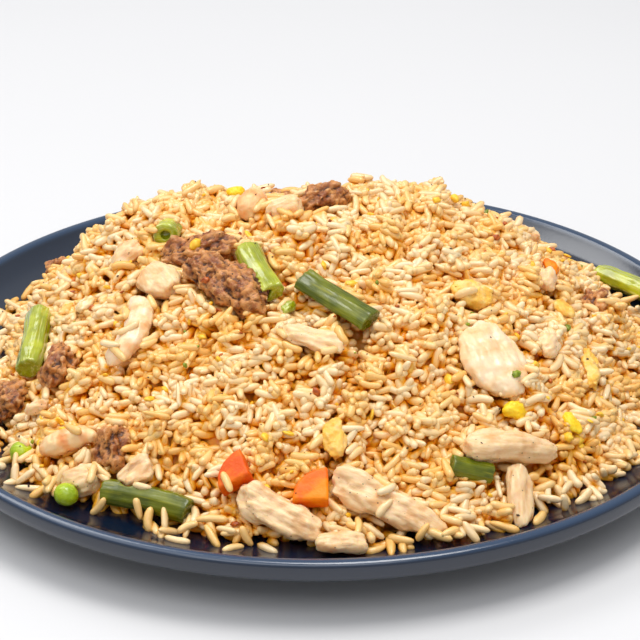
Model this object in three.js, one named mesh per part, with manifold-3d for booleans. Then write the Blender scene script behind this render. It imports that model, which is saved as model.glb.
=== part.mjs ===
// A plate of fried rice: a dark stoneware plate with a short upright lip, a domed heap of rice, and
// beef, chicken, prawns, green beans, peas, carrot and egg lying in the rice.
// Millimetres, +Z up. The origin is on the table under the middle of the plate, and the near side
// of the heap faces -Y.

import * as THREE from "three";
import { mergeVertices } from "three/addons/utils/BufferGeometryUtils.js";
import Module from "manifold-3d";

const wasm = await Module();
wasm.setup();

// ---- driving dimensions ----

const PLATE_RADIUS = 135;
const PLATE_HEIGHT = 20;
const PLATE_SEGMENTS = 60;
const FLOOR_Z = 9.5; // the flat middle of the plate's inner face
const FLAT_RADIUS = 70; // the inner face starts to rise here
const DISH_RADIUS = 124; // and meets the upright lip here
const DISH_RISE = 5.3;
const DISH_SLOPE = 0.2; // of the inner face near the lip
const LIP_WIDTH = 4.4;
const SIDE_HEIGHT = 4.6; // the upright outer side of the lip
const UNDERSIDE_Z = 2.6;
const FOOT_RADIUS = 91;
const FOOT_WIDTH = 6;

const HEAP_RADIUS = 113;
const HEAP_HEIGHT = 55;
const HEAP_FULLNESS = 2.2; // 2 is a plain dome, more has a flatter top and steeper flanks
const GRAIN_LENGTH = 8;
const GRAIN_WIDTH = 2.9;
const GRAIN_SPACING = 8.7; // between the middles of the bumps that stand for grains
const GRAIN_RISE = 1.4; // a bump's ridge over the smooth heap
const GROOVE_DEPTH = 1.3; // the low ground between bumps, under the smooth heap
const OUTLINE_POINTS = 72;
const FRINGE_GRAINS = 40; // whole grains fused on round the foot of the heap
const LOOSE_GRAINS = 14; // and on top of it
const LOOSE_SPACING = 14;
const SKIN_MARGIN = 4; // the skin's points keep this far inside the outline
const HOLLOW = 0.5; // the skin passes this far under a piece
const MOAT_FOOT = 0.35; // round a piece, seen from above, the skin is down at its bed
const MOAT_TOP = 1.5; // and up again this far from the piece

const GAP = 0.3; // between neighbouring solids
const RADIANS = Math.PI / 180;

// ---- small helpers ----

// A repeatable random number source.
function seeded(seed) {
  let state = seed;
  return () => {
    state = (state + 0x6d2b79f5) | 0;
    let t = Math.imul(state ^ (state >>> 15), 1 | state);
    t = (t + Math.imul(t ^ (t >>> 7), 61 | t)) ^ t;
    return ((t ^ (t >>> 14)) >>> 0) / 4294967296;
  };
}

// A smooth uneven value between -1 and 1 at a point in space.
function unevenness(x, y, z, seed) {
  const first = Math.sin(1.7 * x + 2.1 * seed) * Math.cos(1.9 * y - 1.3 * seed);
  const second = Math.sin(2.9 * y + 0.7 * seed + 1.1 * z) * Math.cos(2.3 * z + 1.9 * seed);
  const third = Math.sin(3.7 * z - 1.1 * seed + 1.5 * x);
  return (first + second + third) / 3;
}

// A bell-shaped bulge round the heap: 1 at the middle of the bulge, falling to 0 either side.
function bulge(angle, middle, width) {
  const turn = Math.PI * 2;
  const away = ((((angle - middle * RADIANS + Math.PI) % turn) + turn) % turn) - Math.PI;
  return Math.exp(-((away / (width * RADIANS)) ** 2));
}

function solidOf(geometry) {
  const bare = geometry.clone();
  bare.deleteAttribute("normal");
  bare.deleteAttribute("uv");
  const merged = mergeVertices(bare, 1e-3);
  return new wasm.Manifold(
    new wasm.Mesh({
      numProp: 3,
      vertProperties: new Float32Array(merged.attributes.position.array),
      triVerts: new Uint32Array(merged.index.array),
    }),
  );
}

function geometryOf(solid) {
  const mesh = solid.getMesh();
  const geometry = new THREE.BufferGeometry();
  geometry.setAttribute("position", new THREE.BufferAttribute(mesh.vertProperties, 3));
  geometry.setIndex(new THREE.BufferAttribute(mesh.triVerts, 1));
  geometry.computeVertexNormals();
  return geometry;
}

// The largest of a solid's separate bodies, without the scraps that a cut leaves.
function largestBody(solid) {
  const bodies = solid.decompose();
  return bodies.reduce((most, body) => (body.volume() > most.volume() ? body : most));
}

// The same closed surface with every vertex moved out by a distance.
function grown(geometry, distance) {
  const bare = geometry.clone();
  bare.deleteAttribute("normal");
  bare.deleteAttribute("uv");
  const merged = mergeVertices(bare, 1e-3);
  merged.computeVertexNormals();
  const { position, normal } = merged.attributes;
  for (let i = 0; i < position.count; i++) {
    position.setXYZ(
      i,
      position.getX(i) + normal.getX(i) * distance,
      position.getY(i) + normal.getY(i) * distance,
      position.getZ(i) + normal.getZ(i) * distance,
    );
  }
  return merged;
}

// ---- the plate ----

function dishHeight(radius) {
  const share = Math.max(0, (radius - FLAT_RADIUS) / (DISH_RADIUS - FLAT_RADIUS));
  return FLOOR_Z + DISH_RISE * share * share;
}

const innerRadii = [0, FLAT_RADIUS, 92, 110, DISH_RADIUS];
const innerFace = [
  ...innerRadii.map((radius) => [radius, dishHeight(radius)]),
  [PLATE_RADIUS - LIP_WIDTH - 1.8, PLATE_HEIGHT - 2.6],
  [PLATE_RADIUS - LIP_WIDTH, PLATE_HEIGHT - 0.6],
];
const lip = [
  [PLATE_RADIUS - LIP_WIDTH + 1, PLATE_HEIGHT],
  [PLATE_RADIUS - 0.9, PLATE_HEIGHT],
  [PLATE_RADIUS, PLATE_HEIGHT - 0.9],
  [PLATE_RADIUS, PLATE_HEIGHT - SIDE_HEIGHT],
];
const underside = [
  [PLATE_RADIUS - 2.5, PLATE_HEIGHT - SIDE_HEIGHT - 2.6],
  [FOOT_RADIUS + 1, 3.2],
  [FOOT_RADIUS, 0],
  [FOOT_RADIUS - FOOT_WIDTH, 0],
  [FOOT_RADIUS - FOOT_WIDTH - 1.5, UNDERSIDE_Z],
  [0, UNDERSIDE_Z],
];

// The height of the plate's faceted inner face at a radius.
function floorAt(radius) {
  const outer = Math.max(1, innerFace.findIndex(([r]) => r >= radius));
  const [r0, z0] = innerFace[outer - 1];
  const [r1, z1] = innerFace[outer];
  return z0 + ((z1 - z0) * (radius - r0)) / (r1 - r0);
}

function plateGeometry() {
  const profile = [...innerFace, ...lip, ...underside].reverse();
  const points = profile.map(([radius, height]) => new THREE.Vector2(radius, height));
  const lathe = new THREE.LatheGeometry(points, PLATE_SEGMENTS);
  return lathe.rotateX(Math.PI / 2);
}

// ---- the smooth heap ----

const OUTLINE_BULGES = [
  { angle: 35, width: 28, by: 3 },
  { angle: 120, width: 22, by: 2 },
  { angle: 150, width: 18, by: -3 },
  { angle: 178, width: 16, by: -4 },
  { angle: 205, width: 18, by: -3 },
  { angle: 228, width: 16, by: 5 },
  { angle: 290, width: 24, by: 6 },
];
const HUMPS = [
  { x: 36, y: 26, spread: 24, rise: 7 },
  { x: -46, y: 34, spread: 20, rise: 6 },
  { x: -2, y: 60, spread: 18, rise: -17 },
  { x: -70, y: 14, spread: 16, rise: 8 },
];

function outlineRadius(angle) {
  const ripple = 1.6 * Math.sin(7 * angle + 0.5) + 1.2 * Math.sin(11 * angle + 2);
  return OUTLINE_BULGES.reduce(
    (radius, { angle: middle, width, by }) => radius + by * bulge(angle, middle, width),
    HEAP_RADIUS + ripple,
  );
}

function heapHeight(x, y) {
  const radius = Math.hypot(x, y);
  const share = Math.min(1, radius / outlineRadius(Math.atan2(y, x)));
  const dome = HEAP_HEIGHT * (1 - share ** HEAP_FULLNESS) ** 0.95;
  const humps = HUMPS.reduce((sum, hump) => {
    const away = (x - hump.x) ** 2 + (y - hump.y) ** 2;
    return sum + hump.rise * Math.exp(-away / (2 * hump.spread ** 2));
  }, 0);
  return floorAt(radius) + GAP + dome + humps * (1 - share ** 6);
}

function heapNormal(x, y) {
  const step = 3;
  const slopeX = (heapHeight(x + step, y) - heapHeight(x - step, y)) / (2 * step);
  const slopeY = (heapHeight(x, y + step) - heapHeight(x, y - step)) / (2 * step);
  return new THREE.Vector3(-slopeX, -slopeY, 1).normalize();
}

function dishNormal(x, y) {
  return new THREE.Vector3(-x * DISH_SLOPE, -y * DISH_SLOPE, PLATE_RADIUS).normalize();
}

// ---- shapes of the pieces, each lying along X with its middle at the origin ----

// Moves each vertex by a function that changes the point it is given.
function reshape(geometry, change) {
  const position = geometry.attributes.position;
  const point = new THREE.Vector3();
  for (let i = 0; i < position.count; i++) {
    change(point.fromBufferAttribute(position, i));
    position.setXYZ(i, point.x, point.y, point.z);
  }
  return geometry;
}

// Bends a bar that lies along X round an arc in its own XY plane.
function bendAlong(geometry, length, degrees) {
  if (!degrees) return geometry;
  const radius = length / (degrees * RADIANS);
  return reshape(geometry, (p) => {
    const angle = p.x / radius;
    const reach = radius - p.y;
    p.set(reach * Math.sin(angle), radius - reach * Math.cos(angle), p.z);
  });
}

// A rounded lump: between an ellipsoid (square 2) and a box (square 5), with uneven sides.
function lump({ size, square = 2.6, rough = 0.1, taper = 0, bend = 0, detail = 1, seed }) {
  const [length, width, thickness] = size;
  const ball = new THREE.IcosahedronGeometry(1, detail);
  reshape(ball, (p) => {
    p.normalize();
    const sum = Math.abs(p.x) ** square + Math.abs(p.y) ** square + Math.abs(p.z) ** square;
    const reach = sum ** (-1 / square) * (1 + rough * unevenness(2 * p.x, 2 * p.y, 2 * p.z, seed));
    p.multiplyScalar(reach);
    const narrow = 1 - taper * (p.x * 0.5 + 0.5);
    p.set((p.x * length) / 2, (p.y * width * narrow) / 2, (p.z * thickness * narrow) / 2);
  });
  return bendAlong(ball, length, bend);
}

// A length of bean pod with cut ends: flattened, and swollen over its seeds.
function pod({ size, bend = 0, seeds = 3 }) {
  const [length, width, thickness] = size;
  const bar = new THREE.CylinderGeometry(1, 1, length, 8, 5);
  bar.rotateZ(-Math.PI / 2);
  reshape(bar, (p) => {
    const swell = 1 + 0.05 * Math.cos((2 * Math.PI * seeds * p.x) / length);
    p.set(p.x, (p.y * swell * width) / 2, (p.z * swell * thickness) / 2);
  });
  return bendAlong(bar, length, bend);
}

// A short length of pod that stands on end, hollow where the seed has dropped out.
function hollowPod({ size }) {
  const [length, width, thickness] = size;
  const outer = new THREE.CylinderGeometry(width / 2, width / 2, length, 12);
  const hole = new THREE.CylinderGeometry(width * 0.2, width * 0.2, length, 8);
  hole.translate(0, length * 0.6, 0);
  const wall = solidOf(outer).subtract(solidOf(hole));
  const geometry = geometryOf(wall);
  geometry.scale(1, 1, thickness / width);
  return geometry.rotateZ(-Math.PI / 2);
}

function pea({ size }) {
  const ball = new THREE.IcosahedronGeometry(size[0] / 2, 1);
  return ball.scale(1, 0.96, 0.94);
}

// A thick quarter of a carrot round, with its straight edges along X and Y.
function carrotQuarter({ size }) {
  const [radius, , thickness] = size;
  const shape = new THREE.Shape();
  shape.moveTo(0, 0);
  shape.lineTo(radius, 0);
  shape.absarc(0, 0, radius, 0, Math.PI / 2);
  shape.lineTo(0, 0);
  const bevel = 0.5;
  const quarter = new THREE.ExtrudeGeometry(shape, {
    depth: thickness - 2 * bevel,
    curveSegments: 4,
    bevelSize: bevel,
    bevelThickness: bevel,
    bevelOffset: -bevel,
    bevelSegments: 1,
  });
  return quarter.translate(-radius / 2, -radius / 2, -thickness / 2 + bevel);
}

// ---- the pieces in the rice ----
// size is length, width and thickness; at is where on the heap; heading is the way its length runs,
// anticlockwise from +X; lift raises its middle over the smooth heap; tip turns its far end down.

const beef = (rest) => ({ shape: lump, food: "beef", square: 2.3, rough: 0.3, ...rest });
const chicken = (rest) => ({ shape: lump, food: "chicken", square: 3, rough: 0.14, ...rest });
const prawn = (rest) => ({ shape: lump, food: "prawn", square: 2.2, rough: 0.06, ...rest });
const egg = (rest) => ({ shape: lump, food: "egg", square: 2.4, rough: 0.28, ...rest });
const bean = (rest) => ({ shape: pod, food: "bean", ...rest });
const peas = (rest) => ({ shape: pea, food: "pea", size: [7.6, 7.6, 7.6], ...rest });
const carrot = (rest) => ({ shape: carrotQuarter, food: "carrot", ...rest });

const PIECES = {
  // on the crown of the heap
  bean_dark: bean({ size: [27, 9.4, 5.4], at: [6, -48], heading: -42, lift: 2.6, seeds: 2 }),
  beef_crown_lower: beef({ size: [34, 13, 10], at: [-27, -37], heading: -47, lift: 2.4, detail: 2 }),
  beef_crown_upper: beef({ size: [25, 12, 8], at: [-37, -15], heading: -4, lift: 1.6, detail: 2 }),
  bean_light: bean({ size: [24, 9, 7.4], at: [-18, -33.5], heading: -72, lift: 2.4, bend: 14 }),
  bean_ring: bean({ shape: hollowPod, size: [7, 8.6, 7.8], at: [-48, 0], heading: -96, lift: 1.6, tip: -22 }),
  chicken_back: chicken({ size: [12, 10, 10], at: [-10, 2], heading: 20, lift: 1.6 }),
  prawn_brown_back: prawn({ size: [15, 9, 11], at: [-21, 9], heading: 70, lift: 1.6, rough: 0.12 }),
  beef_back: beef({ size: [17, 11, 9], at: [3, 11], heading: 25, lift: 1.6 }),
  chicken_flake: chicken({ size: [20, 8, 6], at: [-1, -62], heading: -22, lift: 1.2 }),
  // on the left
  chicken_slab: chicken({ size: [18, 12, 8], at: [-49, -25], heading: -58, lift: 1.2, square: 4 }),
  chicken_brown: chicken({ size: [11, 9, 7], at: [-61, -4], heading: 30, lift: 1 }),
  prawn_left: prawn({
    size: [34, 11, 8], at: [-54.5, -44], heading: 70, lift: 1.2, bend: 95, taper: 0.3, detail: 2,
  }),
  bean_left: bean({ size: [31, 9.6, 8], at: [-89, -20], heading: -97, lift: 2.4, bend: -12 }),
  beef_left_mid: beef({ size: [15, 11, 9], at: [-80, -41], heading: 60, lift: 1.6 }),
  beef_left_high: beef({ size: [8, 6.5, 6], at: [-89, 41], heading: 10, lift: 2.6 }),
  beef_far_left: beef({ size: [17, 13, 9], at: [-96, -41], heading: -60, lift: 2 }),
  prawn_left_low: prawn({ size: [21, 9, 8], at: [-73.5, -75.5], heading: 2, lift: 1.4, bend: -50, taper: 0.3 }),
  beef_left_low: beef({ size: [14, 11, 8], at: [-61, -81.5], heading: 80, lift: 1 }),
  pea_left: peas({ at: [-90, -68], heading: 0, lift: 0.4, onPlate: true }),
  // at the near side
  pea_near: peas({ at: [-73.5, -95], heading: 0, lift: 0.4, onPlate: true }),
  chicken_cube: chicken({ size: [11, 10, 9], at: [-69.5, -88], heading: 15, lift: 1, square: 4 }),
  chicken_crumb: chicken({ size: [11, 9, 7], at: [-52.5, -90], heading: 40, lift: 1.6, rough: 0.25 }),
  bean_near_left: bean({ size: [28, 8.2, 7.4], at: [-49, -96.5], heading: -24, lift: 2.2, bend: -16 }),
  carrot_wedge: carrot({ size: [10, 10, 5.4], at: [-24, -98], heading: 100, lift: 2, tip: 10 }),
  carrot_block: carrot({ size: [10.5, 10.5, 6], at: [-2, -104], heading: 92, lift: 2, tip: 6 }),
  chicken_near_left: chicken({
    size: [27, 12, 9], at: [-10.5, -110], heading: -38, lift: 2, taper: 0.2, detail: 2,
  }),
  chicken_near_right: chicken({
    size: [36, 12, 9], at: [20, -107], heading: -33, lift: 2, taper: 0.25, detail: 2,
  }),
  chicken_near_edge: chicken({
    size: [14, 9, 6], at: [7, -120], heading: 4, lift: 0.4, square: 4, onPlate: true,
  }),
  // on the right
  chicken_strip_long: chicken({
    size: [32, 11, 9], at: [56, -84], heading: 10, lift: 2.6, bend: -34, taper: 0.15, square: 2.6, detail: 2,
  }),
  chicken_strip_short: chicken({
    size: [23, 11, 8], at: [58, -98], heading: -73, lift: 2.6, taper: 0.5, square: 2.6,
  }),
  bean_under: bean({ size: [13, 7, 6], at: [45, -94], heading: -6, lift: 0.4, seeds: 1 }),
  prawn_right: prawn({ size: [28, 20, 10], at: [53, -58], heading: -60, lift: 1.4, bend: 20, detail: 2 }),
  chicken_right_low: chicken({ size: [11, 9, 6], at: [71, -41], heading: 60, lift: 1 }),
  chicken_right_high: chicken({ size: [10, 8, 6], at: [73.5, -6], heading: 80, lift: 1.2 }),
  beef_right: beef({ size: [12, 10, 8], at: [92, 0], heading: 70, lift: 1.2 }),
  bean_right: bean({ size: [29, 8.4, 7], at: [110.5, 49], heading: -52, lift: 0.6, bend: -14, onPlate: true }),
  egg_yellow: egg({ size: [8, 6, 5], at: [58.5, -72], heading: 5, lift: 1.6 }),
  egg_golden: egg({ size: [14, 11, 6], at: [48, -33], heading: 0, lift: 0.6, rough: 0.18 }),
  egg_fold: egg({ size: [13, 7, 5], at: [5, -91], heading: 96, lift: 0.8 }),
  egg_strand: egg({ size: [20, 6, 4], at: [85.5, -38], heading: -84, lift: 1.2 }),
  // behind the crest
  chicken_rear_left: chicken({ size: [24, 13, 9], at: [-47, 77], heading: 28, lift: 1.8 }),
  beef_rear: beef({ size: [22, 14, 10], at: [-9, 84], heading: -12, lift: 1.8 }),
  bean_rear: bean({ size: [30, 8.4, 6.8], at: [24, 80], heading: 18, lift: 2.4, bend: 12 }),
  carrot_rear: carrot({ size: [11, 11, 6], at: [50, 84], heading: 40, lift: 2 }),
  chicken_rear_right: chicken({ size: [20, 12, 8], at: [70, 66], heading: -40, lift: 1.6 }),
  prawn_rear: prawn({ size: [26, 11, 9], at: [-26, 99], heading: -12, lift: 2, bend: 90, taper: 0.35 }),
  bean_rear_low: bean({ size: [26, 8.4, 7], at: [-73, 78], heading: 48, lift: 2.4, bend: 10 }),
  egg_rear: egg({ size: [11, 9, 5], at: [27, 101], heading: 30, lift: 1.2 }),
  pea_rear_left: peas({ at: [4, 103], heading: 0, lift: 2.4 }),
  pea_rear_right: peas({ at: [64, 89], heading: 0, lift: 2.4 }),
};

// Bits too small to be pieces, fused to the rice: curls of bean, carrot, chicken, onion and egg.
const BITS = [
  { size: [7, 4, 3.4], at: [-9, -48], heading: 62 },
  { size: [7, 5, 3.6], at: [77, 6], heading: 120 },
  { size: [9, 4.4, 4], at: [-86, -53], heading: 8 },
  { size: [9, 6, 4], at: [79, -17], heading: -50 },
  { size: [9, 6, 4], at: [-74, -15], heading: 70 },
  { size: [6, 5, 4], at: [-27, 24], heading: 20 },
  { size: [8, 5, 3.6], at: [76, -73], heading: -40 },
];

// Stands a piece on the heap: its thickness along the slope's normal, its length along the heading.
// A piece that lies on the plate follows the plate instead.
function placed(geometry, { size, at: [x, y], heading, lift, tip = 0, onPlate = false }) {
  const foot = new THREE.Vector3(x, y, heapHeight(x, y));
  if (onPlate) foot.z = floorAt(Math.hypot(x, y)) + GAP + size[2] / 2;
  const up = onPlate ? dishNormal(x, y) : heapNormal(x, y);
  const along = new THREE.Vector3(Math.cos(heading * RADIANS), Math.sin(heading * RADIANS), 0);
  along.addScaledVector(up, -along.dot(up)).normalize();
  const across = new THREE.Vector3().crossVectors(up, along);
  const turn = new THREE.Matrix4().makeBasis(along, across, up);
  const place = new THREE.Matrix4().makeTranslation(foot.addScaledVector(up, lift));
  const tilt = new THREE.Matrix4().makeRotationY(tip * RADIANS);
  return geometry.applyMatrix4(place.multiply(turn).multiply(tilt));
}

// The convex outline of a shape seen from above, anticlockwise.
function planOutline(geometry) {
  const { position } = geometry.attributes;
  const corner = (_, i) => new THREE.Vector2().fromBufferAttribute(position, i);
  const points = Array.from({ length: position.count }, corner);
  points.sort((a, b) => a.x - b.x || a.y - b.y);
  const turnsRight = (a, b, c) => (b.x - a.x) * (c.y - a.y) - (b.y - a.y) * (c.x - a.x) <= 0;
  const half = (sorted) => {
    const chain = [];
    for (const point of sorted) {
      while (chain.length > 1 && turnsRight(chain.at(-2), chain.at(-1), point)) chain.pop();
      chain.push(point);
    }
    return chain.slice(0, -1);
  };
  return [...half(points), ...half(points.reverse())];
}

// The plane on which a piece beds: square to the slope of the heap, just under the whole piece.
function bedUnder(geometry, up) {
  const { position } = geometry.attributes;
  const point = new THREE.Vector3();
  let lowest = Infinity;
  for (let i = 0; i < position.count; i++) {
    lowest = Math.min(lowest, point.fromBufferAttribute(position, i).dot(up));
  }
  return new THREE.Plane(up, HOLLOW - lowest);
}

const standing = Object.entries(PIECES).map(([name, piece], seed) => {
  const geometry = placed(piece.shape({ ...piece, seed }), piece);
  const bed = bedUnder(geometry, piece.onPlate ? dishNormal(...piece.at) : heapNormal(...piece.at));
  return { name, food: piece.food, geometry, bed, plan: planOutline(geometry) };
});

// How far a point lies outside a convex outline; below zero inside it.
function outsideBy(outline, x, y) {
  const distances = outline.map((from, i) => {
    const edge = outline[(i + 1) % outline.length].clone().sub(from).normalize();
    return (x - from.x) * edge.y - (y - from.y) * edge.x;
  });
  return Math.max(...distances);
}

function nearPiece(x, y, margin) {
  return standing.some(({ plan }) => outsideBy(plan, x, y) < margin);
}

// The lowest bed over which a point lies, or Infinity where there is no piece.
function bedHeight(x, y) {
  const over = standing.filter(({ plan }) => outsideBy(plan, x, y) < MOAT_FOOT * 1.2);
  const heights = over.map(({ bed }) => {
    const { normal, constant } = bed;
    return -(normal.x * x + normal.y * y + constant) / normal.z;
  });
  return Math.min(Infinity, ...heights);
}

// ---- the heap's bumpy skin ----

// Points spread evenly at random over the heap's surface, at least a distance apart.
function spread(random, spacing, tries, accept) {
  const points = [];
  for (let i = 0; i < tries; i++) {
    const angle = random() * 2 * Math.PI;
    const radius = random() ** 0.45 * (outlineRadius(angle) - SKIN_MARGIN);
    const x = radius * Math.cos(angle);
    const y = radius * Math.sin(angle);
    const z = heapHeight(x, y);
    const near = points.some((p) => (p.x - x) ** 2 + (p.y - y) ** 2 + (p.z - z) ** 2 < spacing ** 2);
    if (!near && accept(x, y)) points.push({ x, y, z });
  }
  return points;
}

// Delaunay triangles of flat points, by adding them one at a time (Bowyer and Watson's method).
function triangulate(points) {
  const far = 10 * PLATE_RADIUS;
  const all = [...points, { x: -far, y: -far }, { x: far, y: -far }, { x: 0, y: far }];
  const circled = (a, b, c) => {
    const [p, q, r] = [all[a], all[b], all[c]];
    const twice = 2 * ((q.x - p.x) * (r.y - p.y) - (q.y - p.y) * (r.x - p.x));
    const qq = (q.x - p.x) ** 2 + (q.y - p.y) ** 2;
    const rr = (r.x - p.x) ** 2 + (r.y - p.y) ** 2;
    const ux = ((r.y - p.y) * qq - (q.y - p.y) * rr) / twice;
    const uy = ((q.x - p.x) * rr - (r.x - p.x) * qq) / twice;
    return { corners: [a, b, c], x: p.x + ux, y: p.y + uy, reach: ux * ux + uy * uy };
  };
  const count = points.length;
  let triangles = [circled(count, count + 1, count + 2)];
  points.forEach((point, index) => {
    const edges = new Map();
    triangles = triangles.filter((t) => {
      if ((point.x - t.x) ** 2 + (point.y - t.y) ** 2 >= t.reach) return true;
      t.corners.forEach((from, k) => {
        const to = t.corners[(k + 1) % 3];
        if (!edges.delete(`${to},${from}`)) edges.set(`${from},${to}`, [from, to]);
      });
      return false;
    });
    for (const [from, to] of edges.values()) triangles.push(circled(from, to, index));
  });
  return triangles.map((t) => t.corners).filter((corners) => Math.max(...corners) < count);
}

function heapFoot(radius) {
  return floorAt(radius) + GAP + 0.2;
}

function outlineLoop(random) {
  return Array.from({ length: OUTLINE_POINTS }, (_, i) => {
    const angle = (2 * Math.PI * i) / OUTLINE_POINTS;
    const radius = outlineRadius(angle) + (random() - 0.5) * GRAIN_WIDTH;
    return { x: radius * Math.cos(angle), y: radius * Math.sin(angle), z: heapFoot(radius) };
  });
}

// A convex outline moved out by a distance, as points an even step apart.
function ringRound(outline, distance, step) {
  const middle = outline.reduce((sum, p) => sum.add(p), new THREE.Vector2()).divideScalar(outline.length);
  const corners = outline.map((p) => {
    const arm = p.clone().sub(middle);
    return arm.setLength(Math.max(0.5, arm.length() + distance)).add(middle);
  });
  const path = new THREE.Path(corners).closePath();
  const count = Math.max(3, Math.round(path.getLength() / step));
  return path.getSpacedPoints(count).slice(0, -1);
}

// The vertices of the skin: the outline, a moat round each piece with its floor under the piece, a
// ridge and two flanks for each bump, and low ground between them.
function skinPoints(random) {
  const points = outlineLoop(random);
  const add = (x, y, rise, apart) => {
    const radius = Math.hypot(x, y);
    const clear = points.every((p) => (p.x - x) ** 2 + (p.y - y) ** 2 > apart ** 2);
    if (!clear || radius > outlineRadius(Math.atan2(y, x)) - SKIN_MARGIN) return;
    const z = Math.min(heapHeight(x, y) + rise, bedHeight(x, y));
    points.push({ x, y, z: Math.max(z, heapFoot(radius) + HOLLOW) });
  };

  for (const { plan } of standing) {
    for (const { x, y } of ringRound(plan, MOAT_FOOT, 6.5)) add(x, y, 0, 1);
  }
  for (const { plan } of standing) {
    for (const { x, y } of ringRound(plan, MOAT_TOP, 5.5)) {
      if (!nearPiece(x, y, MOAT_FOOT * 2)) add(x, y, (random() - 0.5) * GRAIN_RISE, 1.2);
    }
  }

  const halfRidge = GRAIN_LENGTH * 0.32;
  const flank = GRAIN_WIDTH * 0.8;
  const open = (x, y) => !nearPiece(x, y, MOAT_TOP * 1.2);
  for (const { x, y } of spread(random, GRAIN_SPACING, 9000, open)) {
    const angle = random() * Math.PI;
    const tilt = (random() - 0.5) * GRAIN_RISE;
    const [cos, sin] = [Math.cos(angle), Math.sin(angle)];
    for (const end of [-halfRidge, halfRidge]) {
      const [px, py] = [x + end * cos, y + end * sin];
      if (open(px, py)) add(px, py, GRAIN_RISE + Math.sign(end) * tilt, 1.6);
    }
    for (const side of [-flank, flank]) {
      const [px, py] = [x - side * sin, y + side * cos];
      if (open(px, py)) add(px, py, -GROOVE_DEPTH * 0.6, 1.6);
    }
  }
  for (const { x, y } of spread(random, GRAIN_SPACING * 0.5, 9000, open)) add(x, y, -GROOVE_DEPTH, 3.2);
  return points;
}

// The closed heap: the bumpy skin over a plain underside that follows the plate.
function heapGeometry(random) {
  const points = skinPoints(random);
  // Among the outline's own points, a triangle that turns the other way bridges a notch outside it.
  const inside = (corners) => {
    if (Math.max(...corners) >= OUTLINE_POINTS) return true;
    const [a, b, c] = [...corners].sort((first, second) => first - second).map((i) => points[i]);
    return (b.x - a.x) * (c.y - a.y) - (b.y - a.y) * (c.x - a.x) > 0;
  };
  const triangles = triangulate(points).filter(inside);

  const rings = [100, FLAT_RADIUS].map((radius) => {
    const start = points.length;
    for (let i = 0; i < OUTLINE_POINTS; i++) {
      const angle = (2 * Math.PI * i) / OUTLINE_POINTS;
      points.push({ x: radius * Math.cos(angle), y: radius * Math.sin(angle), z: heapFoot(radius) });
    }
    return start;
  });
  const centre = points.push({ x: 0, y: 0, z: heapFoot(0) }) - 1;
  const loops = [0, ...rings];
  for (let i = 0; i < OUTLINE_POINTS; i++) {
    const next = (i + 1) % OUTLINE_POINTS;
    for (let k = 0; k + 1 < loops.length; k++) {
      const [outer, inner] = [loops[k], loops[k + 1]];
      triangles.push([outer + i, inner + i, outer + next], [outer + next, inner + i, inner + next]);
    }
    const last = loops[loops.length - 1];
    triangles.push([last + i, centre, last + next]);
  }

  const geometry = new THREE.BufferGeometry();
  const places = points.flatMap(({ x, y, z }) => [x, y, z]);
  geometry.setAttribute("position", new THREE.Float32BufferAttribute(places, 3));
  geometry.setIndex(triangles.flat());
  return geometry;
}

// One whole grain of rice, pointed at both ends and slightly bent.
function grainGeometry(random) {
  const length = GRAIN_LENGTH * (0.85 + 0.3 * random());
  const grain = new THREE.SphereGeometry(1, 5, 4);
  grain.rotateZ(Math.PI / 2);
  grain.scale(length / 2, GRAIN_WIDTH / 2, GRAIN_WIDTH * 0.45);
  return bendAlong(grain, length, 16);
}

// Whole grains that lie round the foot of the heap and on top of it.
function wholeGrains(random) {
  const grains = [];
  for (let i = 0; i < FRINGE_GRAINS; i++) {
    const angle = ((i + 0.6 * random()) / FRINGE_GRAINS) * 2 * Math.PI;
    const radius = outlineRadius(angle) - 3 * random();
    const at = [radius * Math.cos(angle), radius * Math.sin(angle)];
    const heading = angle / RADIANS + (random() - 0.5) * 100;
    if (nearPiece(...at, GRAIN_LENGTH / 2)) continue;
    const size = [GRAIN_LENGTH, GRAIN_WIDTH, GRAIN_WIDTH];
    grains.push(placed(grainGeometry(random), { size, at, heading, lift: 0.5, onPlate: true }));
  }
  const open = (x, y) => !nearPiece(x, y, GRAIN_LENGTH * 0.4);
  const tops = spread(random, LOOSE_SPACING, 900, open);
  for (const { x, y } of tops.slice(0, LOOSE_GRAINS)) {
    const heading = random() * 360;
    const tip = 20 * (random() - 0.5);
    grains.push(placed(grainGeometry(random), { at: [x, y], heading, lift: GRAIN_RISE * 1.4, tip }));
  }
  return grains.map(solidOf);
}

// ---- putting it together ----

const FINISH = {
  plate: { color: 0x1f2a3d, roughness: 0.45 },
  rice: { color: 0xe9c791, roughness: 0.6 },
  beef: { color: 0x7a4a30, roughness: 0.7 },
  chicken: { color: 0xe3c49a, roughness: 0.6 },
  prawn: { color: 0xeec196, roughness: 0.4 },
  egg: { color: 0xf0b93a, roughness: 0.55 },
  bean: { color: 0x4f8a1c, roughness: 0.35 },
  pea: { color: 0x63ab1c, roughness: 0.35 },
  carrot: { color: 0xf2761a, roughness: 0.45 },
};

function part(name, solid, food) {
  const material = new THREE.MeshStandardMaterial({ ...FINISH[food], metalness: 0 });
  const mesh = new THREE.Mesh(geometryOf(solid), material);
  mesh.name = name;
  return mesh;
}

const dish = new THREE.Group();

dish.add(part("plate", solidOf(plateGeometry()), "plate"));

// A piece is trimmed to the plate and to the pieces before it, and the rice to all of them.
const taken = [solidOf(grown(plateGeometry(), GAP))];
for (const { name, food, geometry } of standing) {
  const trimmed = wasm.Manifold.difference([solidOf(geometry), ...taken]);
  dish.add(part(name, largestBody(trimmed), food));
  taken.push(solidOf(grown(geometry, GAP + 0.1)));
}

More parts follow.
